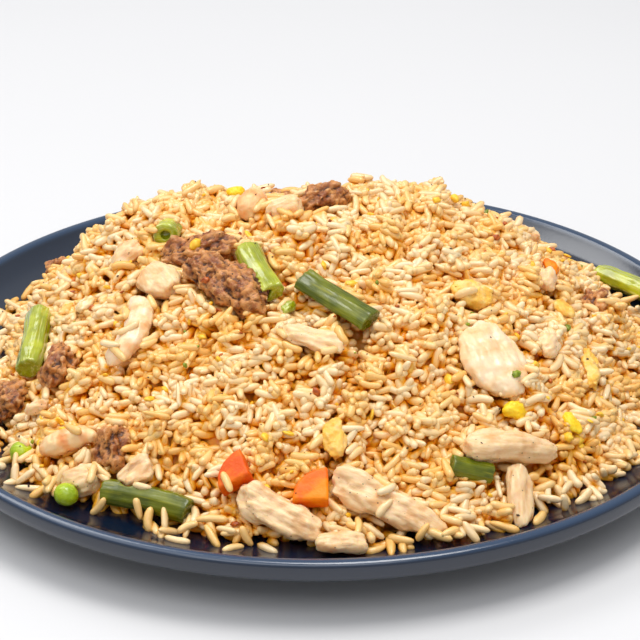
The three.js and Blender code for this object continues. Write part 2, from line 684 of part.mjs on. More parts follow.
const random = seeded(11);
const bits = BITS.map((bit, seed) => solidOf(placed(lump({ ...bit, detail: 0, seed }), { ...bit, lift: 1 })));
const rice = wasm.Manifold.union([solidOf(heapGeometry(random)), ...wholeGrains(random), ...bits]);
dish.add(part("rice_heap", largestBody(wasm.Manifold.difference([rice, ...taken])), "rice"));

export default dish;
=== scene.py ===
# %% [markdown]
# # Fried rice on its plate
#
# A heap of fried rice with vegetables, prawns, meat and egg, on a dark glazed dinner plate.
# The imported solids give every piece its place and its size. This script makes the real
# grains of rice, and gives each kind of food its looks.

# %% The frame
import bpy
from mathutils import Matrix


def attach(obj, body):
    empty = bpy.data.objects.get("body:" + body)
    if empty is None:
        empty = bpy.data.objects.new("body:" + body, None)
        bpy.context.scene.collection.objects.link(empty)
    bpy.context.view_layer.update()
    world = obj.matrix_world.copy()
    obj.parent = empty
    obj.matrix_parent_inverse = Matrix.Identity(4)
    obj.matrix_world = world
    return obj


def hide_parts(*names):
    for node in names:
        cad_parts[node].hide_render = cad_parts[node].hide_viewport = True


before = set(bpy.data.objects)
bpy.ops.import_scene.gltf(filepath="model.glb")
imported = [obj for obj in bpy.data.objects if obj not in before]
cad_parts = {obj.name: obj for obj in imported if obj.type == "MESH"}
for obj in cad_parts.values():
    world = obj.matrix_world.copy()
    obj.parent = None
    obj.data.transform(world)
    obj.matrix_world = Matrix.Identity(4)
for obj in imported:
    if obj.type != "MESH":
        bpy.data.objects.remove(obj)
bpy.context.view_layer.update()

import math
from itertools import product

import bpy
import numpy as np
from mathutils import Matrix, Vector
from mathutils.bvhtree import BVHTree

MM = 0.001

# %% [markdown]
# ## Seen from the table
#
# A diner looks down at a plate at about 27 degrees. A long lens from over half a metre away
# keeps the far rim nearly as wide as the near one. `added` runs any operator that adds an
# object, with everything else deselected first.

# %% Camera
def added(operator, name, **settings):
    bpy.ops.object.select_all(action="DESELECT")
    operator(**settings)
    bpy.context.object.name = name
    return bpy.context.object


EYE = Vector((0, -632.9, 341.4)) * MM
AIM = Vector((1.1, 3.5, 27.0)) * MM
camera = added(bpy.ops.object.camera_add, "camera", location=EYE)
camera.rotation_euler = (AIM - EYE).to_track_quat("-Z", "Y").to_euler()
camera.data.sensor_width, camera.data.lens = 36, 120
bpy.context.scene.camera = camera
print("camera at", [round(x, 3) for x in EYE])

# %% [markdown]
# ## Finishes as expressions
#
# A finish is a tree of shader nodes, and reads best as a formula. `Wire` stands for one
# output of a node. Sums of wires add the Math nodes that do them, so `1 - mask` works.

# %% Wires
class Wire:
    """One output of a node in a finish, used in sums like a number."""

    def __init__(self, finish, socket):
        self.finish, self.socket = finish, socket

    def sum(self, operation, *values):
        return self.finish.node("ShaderNodeMath", {"operation": operation}, dict(enumerate(values)))

    def __add__(self, other):
        return self.sum("ADD", self, other)

    def __rsub__(self, other):
        return self.sum("SUBTRACT", other, self)

    def __mul__(self, other):
        return self.sum("MULTIPLY", self, other)

    def between(self, low, high):
        """0 below low, 1 above high, and a soft step from one to the other."""
        sockets = {"Value": self, "From Min": low, "From Max": high}
        return self.finish.node("ShaderNodeMapRange", {"interpolation_type": "SMOOTHSTEP"}, sockets)


def paint(colour):
    """A wire as it is, or the usual numbers as the shader wants them."""
    return colour if isinstance(colour, Wire) else [(x / 255) ** 2.2 for x in colour] + [1.0]


print("wires are ready")

# %% [markdown]
# `Finish` makes the nodes. Colours are the usual numbers from 0 to 255, and `coats` lays them
# one over another, each through a mask. Food lets light in, which `soft` says: how much, how
# far each colour of it goes in proportion, and how many millimetres that is.

# %% Finishes
class Finish:
    """A material. Settings such as Roughness that are the same all over go in by name."""

    def __init__(self, name, soft=None, **settings):
        self.material = bpy.data.materials.new(name)
        self.material.use_nodes = True
        self.tree = self.material.node_tree
        self.shader = self.tree.nodes["Principled BSDF"]
        if soft:
            weight, radius, reach = soft
            settings.update(Subsurface_Weight=weight, Subsurface_Radius=radius,
                            Subsurface_Scale=reach * MM)
        self.feed(**settings)

    def node(self, kind, settings=None, sockets=None, out=0):
        """Any node: its settings are set first, then the values or wires of its sockets."""
        made = self.tree.nodes.new(kind)
        for name, value in (settings or {}).items():
            setattr(made, name, value)
        for name, value in (sockets or {}).items():
            self.plug(value, made.inputs[name])
        return Wire(self, made.outputs[out])

    def plug(self, value, socket):
        if isinstance(value, Wire):
            self.tree.links.new(value.socket, socket)
        else:
            socket.default_value = value

    def feed(self, **values):
        for name, value in values.items():
            self.plug(value, self.shader.inputs[name.replace("_", " ")])

    def place(self):
        return self.node("ShaderNodeTexCoord", out="Object")

    def own(self, name, out="Fac"):
        """A value that the piece's own mesh carries."""
        return self.node("ShaderNodeAttribute", {"attribute_name": name}, out=out)

    def own_place(self):
        return self.own("own_place", "Vector")

    def pointiness(self):
        """More than 0.5 on ridges and rims, less in grooves and cracks."""
        return self.node("ShaderNodeNewGeometry", out="Pointiness")

    def noise(self, size, where=None, detail=2.0, roughness=0.5):
        """Cloudy patches, size millimetres across, from 0 to 1."""
        sockets = {"Vector": where or self.place(), "Scale": 1 / (size * MM),
                   "Detail": detail, "Roughness": roughness}
        return self.node("ShaderNodeTexNoise", {}, sockets)

    def fibres(self, size, along, across=1.0, detail=3.0, roughness=0.5):
        """Noise drawn out along the piece, the more so the smaller along is."""
        scale = {0: self.own_place(), 1: (along, across, across)}
        where = self.node("ShaderNodeVectorMath", {"operation": "MULTIPLY"}, scale)
        return self.noise(size, where, detail, roughness)

    def cells(self, size, where=None, feature="F1"):
        sockets = {"Vector": where or self.place(), "Scale": 1 / (size * MM)}
        return self.node("ShaderNodeTexVoronoi", {"feature": feature}, sockets)

    def mix(self, share, first, second):
        sockets = {0: share, 6: paint(first), 7: paint(second)}
        return self.node("ShaderNodeMix", {"data_type": "RGBA"}, sockets, out=2)

    def coats(self, colour, *coats):
        """A colour with coats over it, each a mask and what it lets through."""
        for mask, over in coats:
            colour = self.mix(mask, colour, over)
        return colour

    def bump(self, height, depth, before=None):
        """Relief in the shading alone, depth millimetres deep."""
        sockets = {"Height": height, "Distance": depth * MM, "Strength": 1.0}
        if before is not None:
            sockets["Normal"] = before
        return self.node("ShaderNodeBump", {}, sockets)


print("finishes are ready")

# %% [markdown]
# ## Table and light
#
# The plate stands on a white table under four soft lamps. The one above makes the oiled
# grains gleam. The one at the back left shows as a pale band in the glaze of the far wall.
# Those at the left and in front open the shadows.

# %% Table and lamps
table = added(bpy.ops.mesh.primitive_circle_add, "table", vertices=96, radius=4.0,
              fill_type="NGON")
white = Finish("white_table", Roughness=0.5)
white.feed(Base_Color=white.mix(white.noise(300), (214, 214, 216), (218, 218, 220)))
table.data.materials.append(white.material)
FOOD = Vector((0, 0, 30)) * MM


def lamp(name, place, wide, deep, watts, tint=(1, 1, 1)):
    """A soft lamp, wide from left to right and deep from front to back, aimed at the food."""
    made = added(bpy.ops.object.light_add, name, type="AREA", location=place)
    light = made.data
    light.shape = "RECTANGLE"
    light.size, light.size_y, light.energy, light.color = wide, deep, watts, tint
    made.rotation_euler = (FOOD - made.location).to_track_quat("-Z", "Y").to_euler()


lamp("lamp_above", (0.14, 0.08, 1.15), 0.6, 0.45, 7.6, (1.0, 0.98, 0.95))
lamp("lamp_back", (-0.6, 0.72, 1.15), 0.8, 0.5, 4.8)
lamp("lamp_left", (-0.62, -0.1, 1.0), 0.8, 0.8, 2.6)
lamp("lamp_front", (-0.1, -0.75, 1.0), 1.0, 0.6, 3.6)
room = bpy.data.worlds.new("room")
room.use_nodes = True
daylight = room.node_tree.nodes["Background"].inputs
daylight["Color"].default_value = (0.96, 0.98, 1.0, 1)
daylight["Strength"].default_value = 0.50
bpy.context.scene.world = room
bpy.context.scene.view_settings.view_transform = "Standard"

# %% [markdown]
# ## The plate
#
# A coupe plate has a flat middle, a wall that curves up to a rolled lip, and a foot ring.
# It is drawn ring by ring, as a potter would: a disc is extruded, and each new ring is moved
# and resized to the next point of the profile. A subdivision surface rounds the edges.

# %% Plate shape
def only(piece):
    """Leaves this one piece selected and active."""
    bpy.ops.object.select_all(action="DESELECT")
    piece.select_set(True)
    bpy.context.view_layer.objects.active = piece


def apply_modifier(piece, kind, **settings):
    only(piece)
    modifier = piece.modifiers.new(kind.lower(), kind)
    for name, value in settings.items():
        setattr(modifier, name, value)
    bpy.ops.object.modifier_apply(modifier=modifier.name)


FLOOR_Z, FLAT_RADIUS, DISH_RADIUS, DISH_RISE = 9.5, 70.0, 124.0, 5.3
WELD = 1e-6
dish = [(r, FLOOR_Z + DISH_RISE * ((r - FLAT_RADIUS) / (DISH_RADIUS - FLAT_RADIUS)) ** 2)
        for r in (71, 82, 94, 106, 116, 122.6)]
wall = [(125.0, 15.4), (127.2, 16.6), (129.2, 18.0), (130.6, 19.3), (131.6, 19.9)]
lip = [(132.8, 20.0), (134.0, 19.9), (134.9, 19.2), (135.0, 17.5), (135.0, 15.6)]
outside = [(134.4, 14.2), (132.5, 12.8), (120.0, 9.8), (106.0, 6.5), (93.0, 3.5), (91.8, 2.4)]
foot = [(91.2, 0.3), (90.6, 0.0), (85.6, 0.0), (84.6, 0.4), (83.6, 2.2), (82.6, 2.6), (40.0, 2.6)]
radius, height = 30.0, FLOOR_Z
plate = added(bpy.ops.mesh.primitive_circle_add, "plate_glazed", vertices=160,
              radius=radius * MM, fill_type="NGON", location=(0, 0, height * MM))
bpy.ops.object.mode_set(mode="EDIT")
bpy.ops.mesh.select_all(action="SELECT")
for next_radius, next_height in [(60.0, FLOOR_Z)] + dish + wall + lip + outside + foot:
    rise = {"value": (0, 0, (next_height - height) * MM)}
    bpy.ops.mesh.extrude_region_move(TRANSFORM_OT_translate=rise)
    share = next_radius / radius
    bpy.ops.transform.resize(value=(share, share, 1), center_override=(0, 0, next_height * MM))
    radius, height = next_radius, next_height
bpy.ops.mesh.select_all(action="SELECT")
bpy.ops.mesh.remove_doubles(threshold=WELD)
bpy.ops.mesh.normals_make_consistent(inside=False)
bpy.ops.object.mode_set(mode="OBJECT")
bpy.ops.object.transform_apply(location=True, rotation=True, scale=True)
apply_modifier(plate, "SUBSURF", levels=1, render_levels=1, use_limit_surface=False)
bpy.ops.object.shade_smooth()
print("plate faces:", len(plate.data.polygons), "radius:", round(plate.dimensions.x / 2 / MM, 2))

# %% [markdown]
# The glaze is a dark navy, between satin and gloss. Its lip is painted a lighter blue, a painted
# highlight where the rolled lip catches the light. Its fine unevenness keeps reflections from
# looking like plastic.

# %% Plate glaze
LIP_FROM, LIP_TO = 18.6, 20.2
glaze = Finish("navy_glaze", IOR=1.5, Coat_Weight=0.4, Coat_IOR=1.7, Coat_Roughness=0.16)
cloud = glaze.noise(35, detail=4)
speck = glaze.noise(0.9, detail=2)
height = glaze.node("ShaderNodeSeparateXYZ", {}, {0: glaze.place()}, out=2)
navy = glaze.coats((13, 25, 42), (cloud, (18, 33, 53)),
                   (speck.between(0.62, 0.74) * 0.3, (36, 54, 78)),
                   # The lip band is painted lighter blue: a painted highlight.
                   (height.between(LIP_FROM * MM, LIP_TO * MM) * 0.55, (48, 76, 110)))
glaze.feed(Base_Color=navy, Roughness=cloud * 0.08 + speck * 0.08 + 0.13,
           Normal=glaze.bump(speck, 0.03))
plate.data.materials.append(glaze.material)
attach(plate, "root")
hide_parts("plate")
print("glazed:", plate.name)

# %% [markdown]
# ## From solid to morsel
#
# Each topping starts as a copy of its solid. A voxel remesh turns the flat faces into small
# even ones, a smooth rounds their corners, and Displace modifiers work the relief in:
# clouds, drawn out by an empty that is turned along the piece.

# %% Copies and reliefs
def vertex_places(mesh):
    places = np.empty(len(mesh.vertices) * 3)
    mesh.vertices.foreach_get("co", places)
    return places.reshape(-1, 3)


def long_way(mesh):
    """The middle of a piece and its own three directions, the longest first."""
    places = vertex_places(mesh)
    middle = places.mean(axis=0)
    ways = np.linalg.svd(places - middle, full_matrices=False)[2]
    if np.linalg.det(ways) < 0:
        ways[2] = -ways[2]
    return middle, ways


def morsel(node, name, grain, ease):
    """A copy of a node's solid with faces of grain millimetres, eased that many times."""
    piece = linked(name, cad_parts[node].data.copy())
    piece.data.materials.clear()
    only(piece)
    bpy.ops.object.mode_set(mode="EDIT")
    bpy.ops.mesh.select_all(action="SELECT")
    bpy.ops.mesh.remove_doubles(threshold=WELD)
    bpy.ops.object.mode_set(mode="OBJECT")
    apply_modifier(piece, "REMESH", mode="VOXEL", voxel_size=grain * MM)
    apply_modifier(piece, "SMOOTH", factor=0.5, iterations=ease)
    return piece


def linked(name, data=None):
    made = bpy.data.objects.new(name, data)
    bpy.context.scene.collection.objects.link(made)
    return made


def displace(piece, size, strength, **settings):
    """Works clouds of that size into a surface."""
    clouds = bpy.data.textures.new("relief", "CLOUDS")
    clouds.noise_scale = size
    apply_modifier(piece, "DISPLACE", texture=clouds, strength=strength, **settings)
    bpy.data.textures.remove(clouds)


def relief(piece, size, height, drawn_out=1.0):
    """Bumps of that size and height in millimetres, drawn out along the piece."""
    middle, ways = long_way(piece.data)
    guide = linked("guide")
    turn = Matrix([list(way) for way in ways]).transposed().to_4x4()
    scale = Matrix.Diagonal((size * MM * drawn_out, size * MM, size * MM, 1))
    guide.matrix_world = Matrix.Translation(Vector(middle)) @ turn @ scale
    bpy.context.view_layer.update()
    displace(piece, 1.0, height * MM, texture_coords="OBJECT", texture_coords_object=guide)
    bpy.data.objects.remove(guide)


def of_kind(kind):
    return sorted(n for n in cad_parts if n.split("_")[0] == kind)


KINDS = ("beef", "chicken", "prawn", "bean", "pea", "carrot", "egg")
print("kinds:", {kind: len(of_kind(kind)) for kind in KINDS})

# %% [markdown]
# A served piece carries each vertex's place along, across and through it, so that a finish
# can follow its fibres. The place is shifted, or all pieces would wear the same pattern.

# %% Serving
OWN_SHIFT = 0.013
served = []


def serve(piece, finish, node):
    """Gives a piece its finish, and puts it where its solid is."""
    middle, ways = long_way(piece.data)
    own = (vertex_places(piece.data) - middle) @ ways.T + OWN_SHIFT * len(served)
    attribute = piece.data.attributes.new("own_place", "FLOAT_VECTOR", "POINT")
    attribute.data.foreach_set("vector", own.astype(np.float32).ravel())
    piece.data.materials.append(finish.material)
    only(piece)
    bpy.ops.object.shade_smooth()
    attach(piece, "root")
    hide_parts(node)
    served.append(piece)


def topping(node, ending, grain, ease, reliefs, finish):
    """A node's solid, worked with reliefs and served."""
    piece = morsel(node, node + ending, grain, ease)
    for values in reliefs:
        relief(piece, *values)
    serve(piece, finish, node)


print("shift from piece to piece:", OWN_SHIFT / MM, "mm")

# %% [markdown]
# ## Beef
#
# Thin slices of beef fall apart in the wok into torn lumps. Their fibres run along the lump
# and split into ridges. The cracks between them are painted dark, a painted shade, and the
# ridges are painted paler, a painted highlight.

# %% Beef
beef = Finish("seared_beef", (0.12, (1.0, 0.4, 0.2), 1.5), Specular_IOR_Level=0.4,
              Coat_Weight=0.15, Coat_Roughness=0.2)
fibre = beef.fibres(1.0, 0.4, detail=4, roughness=0.6)
patch = beef.noise(4.0, detail=3)
ridge = beef.pointiness()
# Cracks are painted near black, a painted shade, and ridges paler, a painted highlight.
brown = beef.coats((144, 76, 26), (patch.between(0.36, 0.62), (204, 136, 74)),
                   (fibre.between(0.5, 0.72) * 0.45, (214, 168, 108)),
                   ((1 - ridge.between(0.42, 0.53)) * 0.95, (58, 20, 4)),
                   (ridge.between(0.54, 0.62) * 0.5, (244, 196, 132)))
beef.feed(Base_Color=brown, Roughness=fibre * 0.3 + 0.25,
          Normal=beef.bump(fibre, 0.3, beef.bump(beef.noise(0.6, detail=3), 0.2)))
for node in of_kind("beef"):
    topping(node, "_torn", 0.5, 2, [(5.0, 5.5, 1.5), (2.0, 2.8, 1.6), (0.8, 0.7)], beef)
print("beef faces:", sum(len(p.data.polygons) for p in served))

# %% [markdown]
# ## Chicken
#
# Cooked breast meat is cut or torn along its fibres. It is creamy white, golden where it
# lay on the hot iron, and pepper sticks to it. Cut pieces are smoother than torn ones.

# %% Chicken
chicken = Finish("fried_chicken", (0.5, (1.0, 0.6, 0.3), 2.2), Roughness=0.38)
fibre = chicken.fibres(1.1, 0.22, detail=4, roughness=0.6)
patch = chicken.noise(6.5, chicken.own_place(), 3)
pepper = chicken.cells(2.2, chicken.own_place())
# Hollows and cracks are painted a darker brown: painted shade.
crease_shade = chicken.pointiness().between(0.40, 0.5)
gold = chicken.mix(fibre, (206, 136, 64), (224, 162, 90))
skin = chicken.coats((234, 194, 142), (fibre.between(0.35, 0.7), (246, 214, 170)),
                     (patch.between(0.50, 0.68) * 0.55, gold),
                     ((1 - crease_shade) * 0.55, (198, 134, 72)),
                     ((1 - pepper.between(0.07, 0.12)) * 0.8, (70, 46, 30)))
chicken.feed(Base_Color=skin, Normal=chicken.bump(fibre, 0.22))
SMOOTH_CUTS = ("strip", "slab", "back")
CUT = [(7.0, 2.6, 1.6), (2.2, 0.8, 3.2), (0.9, 0.3, 5.0)]
TORN = [(7.0, 4.0, 1.6), (2.2, 1.3, 3.2), (0.9, 0.5, 5.0)]
for node in of_kind("chicken"):
    smooth = any(name in node for name in SMOOTH_CUTS)
    topping(node, "_torn", 0.55, 3, CUT if smooth else TORN, chicken)
print("pieces so far:", len(served))

# %% [markdown]
# ## Prawns
#
# A peeled prawn is smooth and pale, with orange bands and shallow grooves where its rings
# were. The large one is seen from its cut side, which is more folded.

# %% Prawns
def prawn_finish(name, pale, warm, blush):
    prawn = Finish(name, (0.35, (1.0, 0.55, 0.35), 3.0), Roughness=0.3, Specular_IOR_Level=0.6)
    band = prawn.fibres(4.5, 1.0, 0.35, detail=2)
    vein = prawn.fibres(1.2, 0.4)
    groove = prawn.pointiness().between(0.42, 0.5)
    flesh = prawn.coats(pale, (band.between(0.40, 0.60), warm),
                        (band.between(0.60, 0.72) * 0.6, blush),
                        (vein.between(0.55, 0.75) * 0.35, (250, 232, 204)),
                        ((1 - groove) * 0.5, blush))
    prawn.feed(Base_Color=flesh, Normal=prawn.bump(vein, 0.12))
    return prawn


pale_prawn = prawn_finish("pale_prawn", (246, 218, 180), (244, 204, 154), (238, 160, 90))
pink_prawn = prawn_finish("pink_prawn", (246, 206, 150), (240, 170, 106), (226, 118, 52))
PINK = ("prawn_left_low", "prawn_brown_back")
FOLDED = [(8.0, 3.4, 1.5), (2.4, 1.0, 5.0), (1.2, 0.4, 2.0)]
RINGED = [(7.0, 1.3, 0.45), (2.6, 0.6, 3.0), (1.8, 0.5)]
for node in of_kind("prawn"):
    topping(node, "_peeled", 0.55, 5, FOLDED if node == "prawn_right" else RINGED,
            pink_prawn if node in PINK else pale_prawn)
print("pieces so far:", len(served))

# %% [markdown]
# ## Green beans and peas
#
# Beans keep a tight, waxy skin with a fine grain along the pod. Their green goes from bottle
# green to yellow-green, pod by pod. Peas have the same skin, a little puckered.

# %% Beans and peas
def green_skin(name, deep, fresh, streak, wax):
    skin = Finish(name, (0.1, (0.5, 1.0, 0.2), 1.5), Coat_Weight=wax, Coat_Roughness=0.08)
    thread = skin.fibres(0.8, 0.06, roughness=0.6)
    patch = skin.noise(7, skin.own_place(), 2)
    rim = skin.pointiness().between(0.52, 0.60)
    green = skin.coats(deep, (patch.between(0.35, 0.65), fresh),
                       (thread.between(0.52, 0.75) * 0.6, streak), (rim * 0.45, streak))
    skin.feed(Base_Color=green, Roughness=thread * 0.15 + 0.2, Normal=skin.bump(thread, 0.08))
    return skin


deep_green = green_skin("deep_green_pod", (78, 88, 0), (110, 116, 2), (160, 156, 36), 0.15)
fresh_green = green_skin("fresh_green_pod", (140, 148, 4), (178, 184, 30), (238, 236, 150), 0.8)
pea_green = green_skin("pea_skin", (146, 172, 4), (182, 202, 18), (214, 222, 90), 0.4)
FRESH = ("bean_light", "bean_left", "bean_right", "bean_ring", "bean_rear")
for node in of_kind("bean"):
    ribs = (2.0, 0.9 if node in FRESH else 0.3, 14.0)
    topping(node, "_cut", 0.5, 4, [(4.0, 0.8, 3.0), ribs],
            fresh_green if node in FRESH else deep_green)
for node in of_kind("pea"):
    topping(node, "_round", 0.5, 4, [(2.2, 0.5)], pea_green)
print("pieces so far:", len(served))

# %% [markdown]
# ## Carrot and egg
#
# Carrot is cut with a knife, so its edges stay crisp, and its middle is lighter than its rim.
# Egg is scrambled: soft folds in a warm yellow that browns to gold.

# %% Carrot
def carrot_finish(name, rim, flesh):
    carrot = Finish(name, (0.05, (1.0, 0.4, 0.1), 2.0), Roughness=0.45, Specular_IOR_Level=0.3)
    grain = carrot.noise(0.7, detail=3)
    patch = carrot.noise(6, detail=2)
    orange = carrot.coats(rim, (patch.between(0.4, 0.65), flesh),
                          (grain.between(0.55, 0.75) * 0.3, (253, 142, 30)))
    carrot.feed(Base_Color=orange, Normal=carrot.bump(grain, 0.12))
    return carrot


bright_carrot = carrot_finish("bright_carrot", (246, 104, 0), (253, 138, 4))
# The wedge takes a darker copy of the carrot finish, painted shade for the shadow it lies in.
deep_carrot = carrot_finish("deep_carrot", (218, 82, 0), (236, 108, 2))
for node in of_kind("carrot"):
    topping(node, "_cut", 0.4, 2, [(2.5, 0.35)],
            deep_carrot if node == "carrot_wedge" else bright_carrot)
print("pieces so far:", len(served))


# %% Egg
def egg_finish(name, soft, rich, toasted):
    egg = Finish(name, (0.25, (1, 0.7, 0.2), 2.0), Roughness=0.42)
    crumb = egg.noise(1.2, detail=4, roughness=0.6)
    patch = egg.noise(5, detail=3)
    yellow = egg.coats(soft, (patch.between(0.35, 0.6), rich),
                       (crumb.between(0.55, 0.75) * 0.6, soft),
                       (patch.between(0.60, 0.75) * 0.6, toasted))
    egg.feed(Base_Color=yellow, Normal=egg.bump(crumb, 0.3))
    return egg


bright_egg = egg_finish("bright_egg", (253, 216, 52), (252, 202, 4), (236, 160, 24))
golden_egg = egg_finish("golden_egg", (249, 208, 130), (244, 186, 74), (206, 128, 44))
for node in of_kind("egg"):
    topping(node, "_fold", 0.5, 2, [(3.0, 2.2, 1.4), (1.1, 0.9)],
            bright_egg if node == "egg_yellow" else golden_egg)
print("toppings:", len(served), "faces:", sum(len(p.data.polygons) for p in served))

# %% [markdown]
# ## A map of the heap
#
# The heap is a broad dome with a blunt foot, humps, a dip, and an uneven outline. The sizes
# that made its solid make a map of it: how high the rice stands over each spot of the plate.
# A bulge has a middle and a width in degrees, a hump a middle, a spread and a height.

# %% The form of the heap
REACH, CELL = 132.0, 0.6
across = np.arange(-REACH, REACH + CELL / 2, CELL)
GRID = len(across)
spot_x, spot_y = np.meshgrid(across, across)
HEAP_RADIUS, HEAP_HEIGHT, HEAP_FULLNESS, CLEAR = 113.0, 55.0, 2.2, 0.3
BULGES = [(35, 28, 3), (120, 22, 2), (150, 18, -3), (178, 16, -4), (205, 18, -3),
          (228, 16, 5), (290, 24, 6)]
HUMPS = [(36, 26, 24, 7), (-46, 34, 20, 6), (-2, 60, 18, -17), (-70, 14, 16, 8)]
dish_line = np.array([(0, FLOOR_Z), (FLAT_RADIUS, FLOOR_Z)] + dish + wall + lip[:2])


def dish_height(radius):
    return np.interp(radius, dish_line[:, 0], dish_line[:, 1])


def outline(angle):
    """How far the heap reaches in each direction."""
    radius = HEAP_RADIUS + 1.6 * np.sin(7 * angle + 0.5) + 1.2 * np.sin(11 * angle + 2)
    for middle, width, by in BULGES:
        away = (angle - math.radians(middle) + np.pi) % (2 * np.pi) - np.pi
        radius = radius + by * np.exp(-((away / math.radians(width)) ** 2))
    return radius


def heap_height(x, y, drawn_in=0.0):
    radius = np.hypot(x, y)
    share = np.minimum(1, radius / (outline(np.arctan2(y, x)) - drawn_in))
    dome = HEAP_HEIGHT * (1 - share ** HEAP_FULLNESS) ** 0.95
    humps = sum(rise * np.exp(-((x - hx) ** 2 + (y - hy) ** 2) / (2 * spread ** 2))
                for hx, hy, spread, rise in HUMPS)
    return dish_height(radius) + CLEAR + dome + humps * (1 - share ** 6)


form = heap_height(spot_x, spot_y)
print("the solid's form:", round(float(form.max()), 1), "mm high,", GRID, "by", GRID, "spots")

# %% [markdown]
# Lumps are added, because rice from a wok clings in clumps with clefts between. The result
# is the goal that the grains are laid up to.

# %% Clumps
WAVES, WAVE_SPREAD = 14, 3.7
EDGE, HALF_GRAIN, LUMPS_START, HEAP_TOP = 1.2, 1.2, 14, 70.0


def waves(size, seed):
    """A smooth random unevenness from about -1 to 1, size millimetres from bump to bump."""
    draw = np.random.default_rng(seed)
    total = np.zeros((GRID, GRID))
    for _ in range(WAVES):
        turn, phase = draw.uniform(0, 2 * np.pi, 2)
        pace = 2 * np.pi / (size * draw.uniform(0.7, 1.6))
        total += np.sin(pace * (spot_x * np.cos(turn) + spot_y * np.sin(turn)) + phase)
    return total / WAVE_SPREAD


def clumps(size, seed, height):
    """Round clumps with clefts between, which are waves folded upward."""
    return height * (np.abs(waves(size, seed)) - 0.6)


def swell(x, y, wide, rise):
    return rise * np.exp(-((spot_x - x) ** 2 + (spot_y - y) ** 2) / wide ** 2)


def at(field, x, y):
    """The map's value at places in millimetres."""
    i = np.clip(((np.asarray(x) + REACH) / CELL).round().astype(int), 0, GRID - 1)
    j = np.clip(((np.asarray(y) + REACH) / CELL).round().astype(int), 0, GRID - 1)
    return field[j, i]


far_out = np.hypot(spot_x, spot_y)
inside = outline(np.arctan2(spot_y, spot_x)) - far_out
dish_top = dish_height(far_out)
lumps = clumps(26, 1, 3.6) + clumps(14, 4, 3.4) + 1.6 * waves(9, 3)
lumps += swell(-46, 30, 20, 1.5) + swell(4, -74, 16, -3.0) + swell(-4, -40, 12, -2.5)
on_heap = inside > EDGE
lumpy_form = form - HALF_GRAIN + lumps * np.clip(inside / LUMPS_START, 0, 1)
goal = np.clip(np.where(on_heap, lumpy_form, dish_top), dish_top, HEAP_TOP)
print("goal:", round(float(goal.max()), 1), "mm, spots of rice:", int(on_heap.sum()))

# %% [markdown]
# Rays shot down and up at each topping put its upper and lower side on the map. Rice may
# lie sprinkled on those that are named.

# %% Toppings on the map
ABOVE, BELOW = 0.2, -0.1
UP, DOWN = Vector((0, 0, 1)), Vector((0, 0, -1))
SPRINKLED = ("bean_near_left", "carrot", "chicken_flake", "chicken_cube", "chicken_near_edge",
             "chicken_near_right", "prawn_left", "pea_left", "egg_golden", "chicken_brown",
             "_rear")
piece_top = np.full((GRID, GRID), -1.0)
piece_low = np.full((GRID, GRID), 999.0)
sprinkled = np.zeros((GRID, GRID), bool)


def put_on_map(piece):
    """Raises piece_top and lowers piece_low to a piece, over each spot that it covers."""
    faces = [tuple(face.vertices) for face in piece.data.polygons]
    tree = BVHTree.FromPolygons([v.co for v in piece.data.vertices], faces)
    corners = vertex_places(piece.data) / MM
    first = np.searchsorted(across, corners.min(axis=0)[:2]) - 1
    last = np.searchsorted(across, corners.max(axis=0)[:2]) + 1
    for j, i in product(range(max(first[1], 0), min(last[1], GRID)),
                        range(max(first[0], 0), min(last[0], GRID))):
        x, y = across[i] * MM, across[j] * MM
        hit = tree.ray_cast(Vector((x, y, ABOVE)), DOWN)[0]
        if hit is not None:
            low = tree.ray_cast(Vector((x, y, BELOW)), UP)[0]
            piece_top[j, i] = max(piece_top[j, i], hit.z / MM)
            piece_low[j, i] = min(piece_low[j, i], low.z / MM)


for piece in served:
    before = piece_top.copy()
    put_on_map(piece)
    if any(name in piece.name for name in SPRINKLED):
        sprinkled |= piece_top > before
covered = piece_top > 0
print("spots under toppings:", int(covered.sum()))

# %% [markdown]
# ## The core of the heap
#
# Grains buried deep are never seen, so the middle of the heap is one closed body. A sphere
# is pulled into that form: its upper half onto the map, its lower half just over the plate.

# %% Core
SHELL, DRAWN_IN, UNDER_PIECE, BALL = 9.0, 8.0, 2.5, 0.1
core_top = np.maximum(heap_height(spot_x, spot_y, DRAWN_IN) - SHELL, dish_top + 0.3)
core_top = np.minimum(core_top, np.where(covered, piece_low - UNDER_PIECE, 999.0))


def pull(piece, places):
    """Moves a piece's vertices to places in millimetres."""
    piece.data.vertices.foreach_set("co", (places * MM).ravel())
    piece.data.update()


core = added(bpy.ops.mesh.primitive_uv_sphere_add, "rice_core", segments=288, ring_count=210,
             radius=BALL)
on_ball = vertex_places(core.data) / BALL
angle = np.arctan2(on_ball[:, 1], on_ball[:, 0])
outward = np.arccos(np.clip(np.abs(on_ball[:, 2]), 0, 1)) / (np.pi / 2)
reach = (outline(angle) - DRAWN_IN - 1) * outward
x_core, y_core = reach * np.cos(angle), reach * np.sin(angle)
bottom = dish_height(reach) + 0.25
raised = np.maximum(at(core_top, x_core, y_core), bottom + 0.3 * (outward < 0.999))
upper = on_ball[:, 2] >= -1e-6
pulled = np.stack([x_core, y_core, np.where(upper, raised, bottom)], axis=1)
pull(core, pulled)
print("core faces:", len(core.data.polygons))

# %% [markdown]
# ## One grain, six ways
#
# Cooked long-grain rice is about 7.3 mm long and a third as wide, blunt at its ends and
# seldom straight. A six-sided cylinder has its ends extruded and narrowed twice, a cut round
# its middle lets it bend, and Simple Deform bends and tapers it. 38 faces are enough for it.

# %% Grain shapes
HALF_BODY, RINGS = 0.24, [(0.41, 0.78), (0.50, 0.38)]
LONG, WIDE, BELLY = 7.3, 2.55, 1.08
SHAPES = [(0.25, 0.15, 0.9), (0.6, -0.2, 0.85), (-0.4, 0.35, 0.95), (0.1, 0.0, 0.8),
          (0.9, 0.1, 0.9), (0.45, 0.5, 0.85)]


